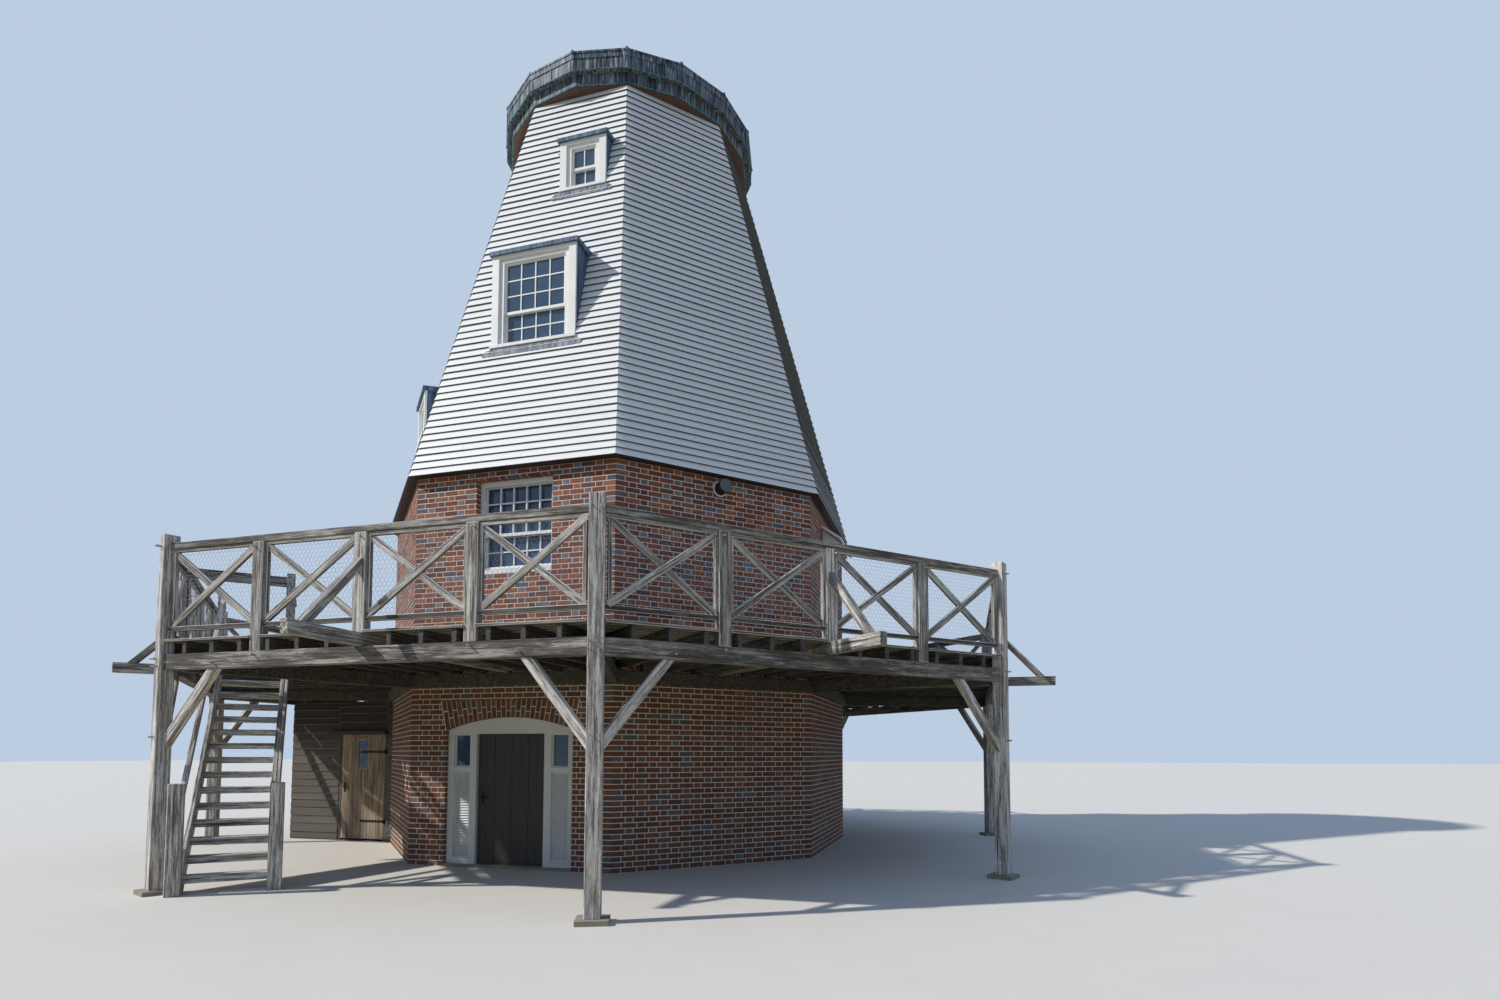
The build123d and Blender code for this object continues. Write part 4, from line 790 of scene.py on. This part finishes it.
planked = Finish("dark_planks", Roughness=0.6)
plank_streak = planked.fibre((60.0, 60.0, 2.0), 4.0)
plank_colour = planked.over(planked.blend(plank_streak, "221f1c", "3d3630"), (planked.tone * 0.4, "2e2925"))
plank_material = planked.wears(plank_colour, 0.45 + 0.3 * plank_streak, plank_streak, 0.0015)
PLANKS, LEAF_W = 8, 1.08
planks = []
for i in range(PLANKS):
    x = -LEAF_W / 2 + i * LEAF_W / PLANKS + LEAF_W / 2 / PLANKS
    planks.append(("south", (x, -3.765 - 0.002 * (i % 2), 0.9675), (LEAF_W / PLANKS - 0.004, 0.046, 1.845), STRAIGHT,
                   (i * 0.37) % 1))
for z in (0.32, 1.60):
    planks.append(("south", (0, -3.742, z), (1.0, 0.004, 0.12), STRAIGHT, 0.3))
stands(laid("door_planks", planks, block_unit, plank_material), "door_boards", "main_door", body="main_door")

iron = Finish("black_iron", Metallic=0.6)
iron_cloud = iron.noise(30.0, 4.0)
coat(iron.wears(iron.blend(iron.step(iron_cloud, 0.5, 0.75), "1b1b1c", "3a3431"), 0.4 + 0.35 * iron_cloud, iron_cloud,
                0.0008), "main_door_ironwork", "main_door_pins", "store_door_ironwork", "store_door_pins")


# Doorstep, ground floor and the stones under the posts: worn sandstone, dressed flat and bedded
# on the ground. The upper floors are of planed boards, laid close.
stone = Finish("worn_stone", Roughness=0.9)
stone_grit, stone_cloud = stone.noise(70.0, 4.0, 0.7), stone.noise(5.0, 4.0)
stone_colour = stone.over(stone.blend(stone_cloud, "7d766a", "a59d8e"),
                          (stone.step(stone_grit, 0.55, 0.7) * 0.5, "615b52"))
coat(stone.wears(stone_colour, None, stone_grit + stone_cloud, 0.004), "doorway_sill", "ground_floor", "pad_stones")
planed = Finish("floor_boards", Roughness=0.6)
planed_gap = planed.step(planed.node("ShaderNodeMath", {"operation": "PINGPONG"},
                                     {0: planed.split(planed.place, 1), 1: 0.075}), 0.0, 0.004)
planed_colour = planed.blend(planed.noise((3.0, 60.0, 60.0), 4.0), "8f7656", "b59a74")
coat(planed.wears(planed.blend(planed_gap, "2e261d", planed_colour), None, planed_gap), "upper_floors")


# Stage doors: a framed white door with a glazed upper half on the east and west sides, under a
# sloping hood, and the black flue end high in the south-east wall with its pale ring.
SILL_Z, PANEL_FOOT, PANEL_HEAD, GLASS_FOOT, GLASS_HEAD, LEAF_HEAD = 2.925, 3.125, 3.755, 3.895, 4.985, 5.105
leaves, stage_panes = [], []
for side in ("east", "west"):
    for x0, x1, z0, z1 in ((-0.41, -0.30, SILL_Z, LEAF_HEAD), (0.30, 0.41, SILL_Z, LEAF_HEAD),
                           (-0.30, 0.30, GLASS_HEAD, LEAF_HEAD), (-0.30, 0.30, PANEL_HEAD, GLASS_FOOT),
                           (-0.30, 0.30, SILL_Z, PANEL_FOOT)):
        leaves.append(strip(side, x0, x1, -3.745, -3.705, z0, z1))
    leaves.append(strip(side, -0.30, 0.30, -3.73, -3.71, PANEL_FOOT, PANEL_HEAD))
    leaves += ring_of(side, -0.30, 0.30, PANEL_FOOT, PANEL_HEAD, 0.018, -3.74, -3.73)
    leaves += sash(side, -0.30, 0.30, GLASS_FOOT, GLASS_HEAD, -3.74, -3.712, 2, 3, 0.018)
    stage_panes.append(strip(side, -0.29, 0.29, -3.726, -3.720, 3.90, 4.98))
stands(laid("stage_door_leaves", leaves, block_unit, gloss_material), "white_paint", "stage_doors")
stands(laid("stage_door_panes", stage_panes, block_unit, pane_material), "glass")

flue = Finish("flue_enamel", Roughness=0.55)
flue_out = (flue.split(flue.place, 0) - flue.split(flue.place, 1)) * math.sqrt(0.5) - BASE_AP
flue_cloud = flue.noise(18.0)
flue_colour = flue.over(flue.blend(flue.step(flue_out, 0.0145, 0.0155), "f6f3ec", "141414"),
                        (flue.step(flue_out, 0.1985, 0.1995), "565a5e"))
coat(flue.wears(flue_colour, 0.4 + 0.3 * flue_cloud, flue_cloud, 0.0006), "wall_flue")


# Oak of the stage: green oak posts, beams, joists and braces, pegged together and left bare, now
# silver grey, open in the grain and rounded at the arrises by weather.
def bare_oak(name, dark, light, bloom, stain):
    """Bare oak between two greys, with pale raised grain, dark flecks, open shakes and rain stains."""
    oak = Finish(name, Roughness=0.85)
    streak, fine = oak.fibre((1.6, 34.0, 34.0), 5.0, 0.65), oak.fibre((5.0, 150.0, 150.0), 3.0, 0.6)
    fleck, shake = oak.fibre((14.0, 100.0, 100.0), 3.0, 0.6), oak.fibre((0.9, 48.0, 48.0), 2.0)
    colour = oak.over(oak.blend(oak.step(streak, 0.4, 0.6), dark, light), (oak.tone * 0.3, dark),
                      (oak.step(oak.fibre(1.7), 0.5, 0.8) * 0.35, "6b665f"),
                      (oak.step(fine, 0.5, 0.68) * bloom, "efebe5"), (oak.step(fleck, 0.55, 0.66) * 0.6, "3d3935"),
                      (oak.step(shake, 0.61, 0.67) * 0.85, "262321"),
                      (oak.step(oak.fibre((1.3, 7.0, 7.0), 4.0, 0.6), 0.44, 0.6) * stain, "34302c"))
    height = streak * 0.6 + fine * 0.4 - oak.step(shake, 0.59, 0.67)
    return oak.wears(colour, 0.7 + 0.25 * streak, height, 0.004)


oak_material = bare_oak("silver_oak", "7f7a75", "efebe8", 0.7, 0.15)
stained_oak = bare_oak("stained_oak", "4a4540", "a39e98", 0.5, 0.8)
middle_oak = bare_oak("middle_oak", "5f5a54", "cbc7c1", 0.5, 0.4)
# A darker copy of the oak for the timbers under the deck and the low rails: painted shade, with some damp.
damp_shaded_oak = bare_oak("damp_shaded_oak", "211e1b", "5c5750", 0.2, 0.4)
# A darker copy of the oak for the deck planks: painted shade on their undersides and edges, over their own weathered
# grey.
deck_oak = bare_oak("deck_oak", "46423d", "918b83", 0.3, 0.3)


def weathered(mesh, wear, draw):
    """Rounds the arrises of straight timbers and lays each one's grain along its length."""
    shell = bmesh.new()
    shell.from_mesh(mesh)
    bmesh.ops.remove_doubles(shell, verts=shell.verts, dist=0.00002)
    bmesh.ops.dissolve_limit(shell, angle_limit=math.radians(1.5), verts=shell.verts, edges=shell.edges)
    grain = shell.verts.layers.float_vector.get("grain") or shell.verts.layers.float_vector.new("grain")
    tone = shell.verts.layers.float.get("tone") or shell.verts.layers.float.new("tone")
    reached = set()
    for start in shell.verts:
        if start in reached:
            continue
        reached.add(start)
        timber = [start]
        for vert in timber:                  # the list grows while it is walked, always in the same order
            for link in vert.link_edges:
                other = link.other_vert(vert)
                if other not in reached:
                    reached.add(other)
                    timber.append(other)
        longest = max([link for vert in timber for link in vert.link_edges], key=lambda link: link.calc_length())
        along = (longest.verts[1].co - longest.verts[0].co).normalized()
        across = along.cross(Vector((0, 0, 1)) if abs(along.z) < 0.9 else Vector((1, 0, 0))).normalized()
        deep = along.cross(across)
        shift = Vector([draw.uniform(0, 40) for _ in range(3)])
        shade = draw.random()
        for vert in timber:
            vert[grain] = Vector((vert.co.dot(along), vert.co.dot(across), vert.co.dot(deep))) + shift
            vert[tone] = shade
    bmesh.ops.bevel(shell, geom=shell.edges[:], offset=wear, segments=1, affect="EDGES", clamp_overlap=True)
    bmesh.ops.recalc_face_normals(shell, faces=shell.faces)
    shell.to_mesh(mesh)
    shell.free()


def from_solids(name, wear, draw, material, *nodes):
    """Weathered timbers with the very shapes of these solids."""
    shell = bmesh.new()
    for node in nodes:
        shell.from_mesh(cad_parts[node].data)
    mesh = bpy.data.meshes.new(name)
    shell.to_mesh(mesh)
    shell.free()
    weathered(mesh, wear, draw)
    mesh.materials.clear()
    mesh.materials.append(material)
    mesh.polygons.foreach_set("material_index", [0] * len(mesh.polygons))
    return added(name, mesh)


draw = random.Random(41)
for name, wear, oak, nodes in (("oak_posts", 0.006, oak_material, ["stage_posts"]),
                               ("oak_beams", 0.006, stained_oak, ["stage_beams"]),
                               ("oak_joists", 0.003, damp_shaded_oak, ["joists", "hip_joists", "hip_beams", "wall_plates"]),
                               ("oak_trimmers", 0.003, damp_shaded_oak, ["stairwell_trimmers"]),
                               ("oak_braces", 0.005, oak_material, ["knee_braces"]),
                               ("oak_outriggers", 0.005, middle_oak, ["rail_struts", "outriggers"]),
                               ("oak_hand_rails", 0.006, stained_oak, ["hand_rails"])):
    stands(from_solids(name, wear, draw, oak, *nodes), "oak", *nodes)


# Railing: each bay has a slender frame and two crossed bars halved over each other, between
# posts that are housed over the beam. The bars are pegged, and none is quite true.
STAGE_AP, BEAM_W, BAY_POST, BAY_POST_D = 6.68, 0.13, 0.145, 0.11
STRIP_W, STRIP_D, LOW_RAIL, CROSS_W, CROSS_D = 0.036, 0.05, 0.052, 0.072, 0.044
BEAM_TOP, JOIST_D, RAIL_UNDER, LOW_RAIL_FOOT = 2.752, 0.145, 3.985, 3.025
POST_END = STAGE_AP * MITRE - 0.08 / CORNER
BAY_PITCH = STAGE_AP * MITRE / 2
BEAM_FACE = -STAGE_AP - BEAM_W / 2
STRIP_Y = BEAM_FACE + 0.03


def bays(end):
    """Left and right of each bay between its posts, and so far clear of the corner posts."""
    edges = [-POST_END, -BAY_PITCH, 0, BAY_PITCH, POST_END]
    return [(edges[i] + (BAY_POST / 2 if i else end), edges[i + 1] - (BAY_POST / 2 if i < 3 else end))
            for i in range(4)]


def rail_bars(side, draw):
    """Every piece of one side's railing."""
    found = []
    for x in (-BAY_PITCH, 0, BAY_PITCH):
        foot = BEAM_TOP + (JOIST_D if x == 0 else 0)
        found.append(strip(side, x - BAY_POST / 2, x + BAY_POST / 2, BEAM_FACE, BEAM_FACE + BAY_POST_D, foot,
                           RAIL_UNDER))
    low, high = LOW_RAIL_FOOT + LOW_RAIL, RAIL_UNDER - STRIP_W
    for z0, z1 in ((LOW_RAIL_FOOT, low), (high, RAIL_UNDER)):
        found.append(strip(side, -POST_END - 0.02, POST_END + 0.02, STRIP_Y, STRIP_Y + STRIP_D, z0, z1))
    for x0, x1 in bays(STRIP_W / 2):
        for a in (x0, x1 - STRIP_W):
            found.append(strip(side, a, a + STRIP_W, STRIP_Y, STRIP_Y + STRIP_D, low, high))
        for way in (-1, 1):
            lift = way * math.atan2(high - low, x1 - x0) + draw.uniform(-0.004, 0.004)
            found.append((side, ((x0 + x1) / 2, STRIP_Y + STRIP_D / 2 + way * 0.006, (low + high) / 2),
                          (math.hypot(x1 - x0, high - low), CROSS_D, CROSS_W), (0, lift, 0), draw.random()))
    return [(*bar[:4], draw.random()) for bar in found]


def laid_oak(name, pieces, wear, material=oak_material, **rules):
    """Laid bars with weathered arrises, the grain along the longest side of each."""
    made = laid(name, pieces, block_unit, material, **rules)
    weathered(made.data, wear, random.Random(len(pieces)))
    return made


draw = random.Random(57)
bars = [b for side in SIDES for b in rail_bars(side, draw)]
middle_posts = [bar for bar in bars if bar[1][0] == 0 and bar[2][0] < 2 * BAY_POST]        # paler than the others
low_rails = [bar for bar in bars if bar[1][2] < LOW_RAIL_FOOT + LOW_RAIL]
crossed = [bar for bar in bars if bar not in middle_posts and bar not in low_rails]
stands(laid_oak("oak_bay_posts", middle_posts, 0.004, uneven=0.002, seed=9), "oak", "railing_lattices")
stands(laid_oak("oak_low_rails", low_rails, 0.004, damp_shaded_oak, seed=10), "oak")
stands(laid_oak("oak_crossed_bars", crossed, 0.004, middle_oak, uneven=0.002, seed=11), "oak")


# Netting: galvanised wire twisted into six-sided meshes, cut to fit between the posts and
# stapled over the inner side of every bay, from the low rail up to the hand rail.
MESH_W, WIRE = 0.055, 0.0028
MESH_TALL = MESH_W / math.sqrt(3)
ring = [(0.5 * math.cos(turn), 0.5 * math.sin(turn)) for turn in (0.0, 2 * math.pi / 3, 4 * math.pi / 3)]
wire_unit = unit("wire_unit", [(x, y, z) for z in (-0.5, 0.5) for x, y in ring], [face[::-1] for face in carried(3)])
galvanised = Finish("galvanised_wire", Metallic=0.4)
galvanised_cloud = galvanised.noise(9.0, 2.0)
galvanised_material = galvanised.wears(galvanised.blend(galvanised_cloud, "636a6e", "959b9f"),
                                       0.4 + 0.3 * galvanised_cloud)


def netting(side):
    """The wires of one side's bays: short upright twists, and two slanting wires from the top of each."""
    y = STRIP_Y + STRIP_D + WIRE / 2
    found = []
    for left, right in bays(0):
        for row in range(int((RAIL_UNDER - LOW_RAIL_FOOT) / (1.5 * MESH_TALL))):
            z = LOW_RAIL_FOOT + row * 1.5 * MESH_TALL
            for column in range(int((right - left - 0.008) / MESH_W)):
                x = left + 0.004 + (column + (0.25 if row % 2 else 0.75)) * MESH_W
                for way, rise in ((0, 0.5), (-1, 1.25), (1, 1.25)):
                    found.append((side, (x + way * MESH_W / 4, y, z + MESH_TALL * rise), (WIRE, WIRE, MESH_TALL),
                                  (0, way * math.radians(60), 0), 0.5))
    return found


for side in SIDES:
    stands(laid("netting_" + side, netting(side), wire_unit, galvanised_material), "iron")


# Pegs: every joint of posts, beams, braces and rails is held by riven oak pegs, driven into bored
# holes and left long outside, where they have gone as grey as the posts.
PEG_R, PEG_OUT, PEG_IN = 0.011, 0.055, 0.01
ring = [(0.5 * math.cos(math.pi * (j + 0.5) / 4), 0.5 * math.sin(math.pi * (j + 0.5) / 4)) for j in range(8)]
peg_unit = unit("peg_unit", [(x * 0.8, -0.5, z * 0.8) for x, z in ring] + [(x, 0.5, z) for x, z in ring], carried(8))


def peg(side, x, z, face, draw, turn=0.0):
    """A peg that stands out of a face; turn carries it round to the face of the corner post."""
    out = PEG_OUT * draw.uniform(0.75, 1.15)
    middle, = turned([(x, face - out / 2 + PEG_IN, z)], turn)
    size = (2 * PEG_R, out + 2 * PEG_IN, 2 * PEG_R)
    return (side, middle, size, (draw.uniform(-0.05, 0.05), 0, turn), draw.random())


pegs = []
draw = random.Random(63)
post_face = -STAGE_AP / CORNER - 0.08
for side in SIDES:
    for x, z in ((-0.045, 4.03), (0.045, 4.02), (-0.045, 2.70), (0.02, 2.705), (-0.045, 2.62), (0.035, 2.615),
                 (-0.045, 1.80), (0.035, 1.795)):
        pegs.append(peg(side, x + draw.uniform(-0.006, 0.006), z, post_face, draw, math.radians(22.5)))
    for x, z in ((-1.96, 2.63), (1.96, 2.63), (-BAY_PITCH, 2.71), (BAY_PITCH, 2.71), (-BAY_PITCH - 0.03, 3.93),
                 (BAY_PITCH + 0.03, 3.93), (0.03, 3.93)):
        pegs.append(peg(side, x + draw.uniform(-0.01, 0.01), z, BEAM_FACE, draw))
stands(outward(laid("oak_pegs", pegs, peg_unit, oak_material)), "oak")


# Deck: sawn boards laid along each side with open joints, mitred over the hip joists, cut round
# the posts and left out over the stair. Their ends and edges are weathered thin and pale.
DECK_T, BOARD_W, BOARD_GAP, DECK_OUT, DECK_IN = 0.028, 0.144, 0.007, 6.77, 3.912
WELL = (-0.430, 1.750, -6.455, -5.525)     # left, right, outer and inner edge, on the south-west side
deck_boards = []
draw = random.Random(71)
for side in SIDES:
    for k in range(int((DECK_OUT - DECK_IN) / BOARD_W) + 1):
        out = DECK_OUT - k * BOARD_W
        back = max(out - BOARD_W + BOARD_GAP, DECK_IN)
        half = out * MITRE
        cuts = []
        if k == 0:
            cuts = [(x - BAY_POST / 2, x + BAY_POST / 2) for x in (-BAY_PITCH, 0, BAY_PITCH)]
        if k < 2:
            clear = POST_END + (0.07 if k else 0.012)
            cuts += [(-half, -clear), (clear, half)]
        elif side == "south_west" and -WELL[3] < out and back < -WELL[2]:
            cuts = [WELL[:2]]
        spans = [(-half, half)]
        for left, right in cuts:
            spans = [piece for a, b in spans for piece in ((a, min(b, left)), (max(a, right), b))
                     if piece[1] - piece[0] > 0.02]
        for a, b in spans:
            parts = [(a, b)]
            if b - a > 2.2:
                butt = (a + b) / 2 + draw.uniform(-0.5, 0.5)
                parts = [(a, butt - 0.002), (butt + 0.002, b)]
            for left, right in parts:
                trim = draw.uniform(0, 0.004)
                middle = ((left + right) / 2, -(out + back) / 2 - (trim if k else -trim), DECK_TOP - DECK_T / 2)
                deck_boards.append((side, middle, (right - left, out - back - trim, DECK_T - draw.uniform(0, 0.003)),
                                    STRAIGHT, draw.random()))
stands(laid_oak("deck_planks", deck_boards, 0.003, deck_oak, mitre=MITRE, gap=0.004), "deck_boards", "deck",
       "deck_over_stair")


# Stair: two strings, fourteen open treads, stout newels and plain rails, all of the same oak and
# set against the south-west side of the stage, where one board guards the low end of the opening.
draw = random.Random(83)
for name, wear, nodes in (("stair_flight", 0.005, ["stair_strings", "stair_treads"]),
                          ("stair_newel_posts", 0.007, ["stair_newels"]),
                          ("stair_hand_rails", 0.005, ["stair_rails"])):
    stands(from_solids(name, wear, draw, oak_material, *nodes), "oak", *nodes)
guard_board = strip("south_west", WELL[1] + 0.03, WELL[1] + 0.075, -6.62, WELL[3] + 0.05, 3.865, 4.0)
stands(laid_oak("well_guard_board", [guard_board], 0.004, stained_oak), "oak")


# Store: dark weathered boards of uneven widths lapped on a light frame below the deck, with a
# door of six planks, the middle two cut round a small light, and a board over it as a drip.
STORE_X, STORE_Y, STORE_FOOT, STORE_TOP, STORE_HEAD = -6.15, 1.61543, 0.02, 2.55, 2.025
dark = Finish("store_boards", Roughness=0.85)
dark_streak = dark.fibre((1.4, 30.0, 30.0), 5.0, 0.65)
# The boards darken toward the top of the wall: painted shade under the deck.
dark_colour = dark.over(dark.blend(dark_streak, "38332e", "7f7870"), (dark.tone * 0.5, "4a443d"),
                        (dark.step(dark.fibre((1.0, 50.0, 50.0), 2.0), 0.6, 0.7) * 0.7, "1b1816"),
                        (dark.step(dark.split(dark.place, 2), 1.5, 2.3) * 0.75, "1d1a17"))
dark_material = dark.wears(dark_colour, None, dark_streak, 0.004)


def lapped(side, x0, x1, foot, draw):
    """Lapped boards over one stretch of a store wall, from its foot up."""
    found, z = [], foot
    while z < STORE_TOP - 0.03:
        tall = min(draw.uniform(0.11, 0.17), STORE_TOP - z)
        thick = draw.uniform(0.014, 0.02)
        middle = ((x0 + x1) / 2, (STORE_X if side == "west" else -STORE_Y) - thick / 2, z + tall / 2)
        found.append((side, middle, (x1 - x0, thick, tall * 1.02), STRAIGHT, draw.random()))
        z += tall
    return found


draw = random.Random(97)
store = [board for stretch in (("south", STORE_X, -5.065, STORE_FOOT), ("south", -3.99, -3.905, STORE_FOOT),
                               ("south", -5.065, -3.99, STORE_HEAD), ("north", 3.905, -STORE_X, STORE_FOOT),
                               ("west", -STORE_Y, STORE_Y, STORE_FOOT)) for board in lapped(*stretch, draw)]
store_skin = laid("store_cladding", store, wedge_unit, dark_material, uneven=0.002, seed=4)
weathered(store_skin.data, 0.002, random.Random(5))
stands(store_skin, "store_boards")
coat(dark_material, "store_front_over", "store_long_walls", "store_west_wall", "store_roof")
stands(from_solids("store_door_case", 0.004, draw, dark_material, "store_door_frame"), "store_boards",
       "store_door_frame")

bare = Finish("store_planks", Roughness=0.8)
bare_streak = bare.fibre((1.5, 30.0, 30.0), 5.0, 0.65)
bare_colour = bare.over(bare.blend(bare.step(bare_streak, 0.35, 0.65), "584a3e", "b39f89"),
                        (bare.tone * 0.4, "6a5b4d"))
bare_material = bare.wears(bare_colour, None, bare_streak, 0.003)
LIGHT_LEFT, LIGHT_RIGHT, LIGHT_FOOT, LIGHT_HEAD = -4.66, -4.405, 1.33, 1.876
LEAF_FOOT, LEAF_TOP = 0.04, 1.958         # the leaf swings out 7 mm below the drip board
DOOR_LEFT, DOOR_RIGHT = -5.005, -4.05
edges = [DOOR_LEFT, -4.79, LIGHT_LEFT, -4.5325, LIGHT_RIGHT, -4.23, DOOR_RIGHT]
leaf = []
for i in range(6):
    a, b = edges[i] + 0.0015, edges[i + 1] - 0.0015
    around_light = [(LEAF_FOOT, LIGHT_FOOT), (LIGHT_HEAD, LEAF_TOP)]
    for z0, z1 in around_light if i in (2, 3) else [(LEAF_FOOT, LEAF_TOP)]:
        middle = ((a + b) / 2, -STORE_Y + 0.013 + 0.001 * (i % 2), (z0 + z1) / 2)
        leaf.append(("south", middle, (b - a, 0.024, z1 - z0), STRAIGHT, (i * 0.41) % 1))
for z0, z1 in ((0.25, 0.37), (1.1, 1.22)):
    leaf.append(("south", ((DOOR_LEFT + DOOR_RIGHT) / 2, -STORE_Y + 0.033, (z0 + z1) / 2),
                 (DOOR_RIGHT - DOOR_LEFT - 0.06, 0.016, z1 - z0), STRAIGHT, 0.2))
leaf += ring_of("south", LIGHT_LEFT, LIGHT_RIGHT, LIGHT_FOOT, LIGHT_HEAD, 0.022, -STORE_Y + 0.006, -STORE_Y + 0.03)
leaf.append(strip("south", LIGHT_LEFT + 0.022, LIGHT_RIGHT - 0.022, -STORE_Y + 0.008, -STORE_Y + 0.03, 1.66, 1.68))
stands(laid_oak("store_door_planks", leaf, 0.002, bare_material), "store_planks", "store_door", body="store_door")
panes = [strip("south", LIGHT_LEFT + 0.02, LIGHT_RIGHT - 0.02, -STORE_Y + 0.016, -STORE_Y + 0.020, LIGHT_FOOT + 0.02,
               LIGHT_HEAD - 0.02)]
stands(laid("store_door_panes", panes, block_unit, pane_material), "glass", body="store_door")


for helper in (wire_unit, peg_unit, wedge_unit, block_unit):
    bpy.data.objects.remove(helper)
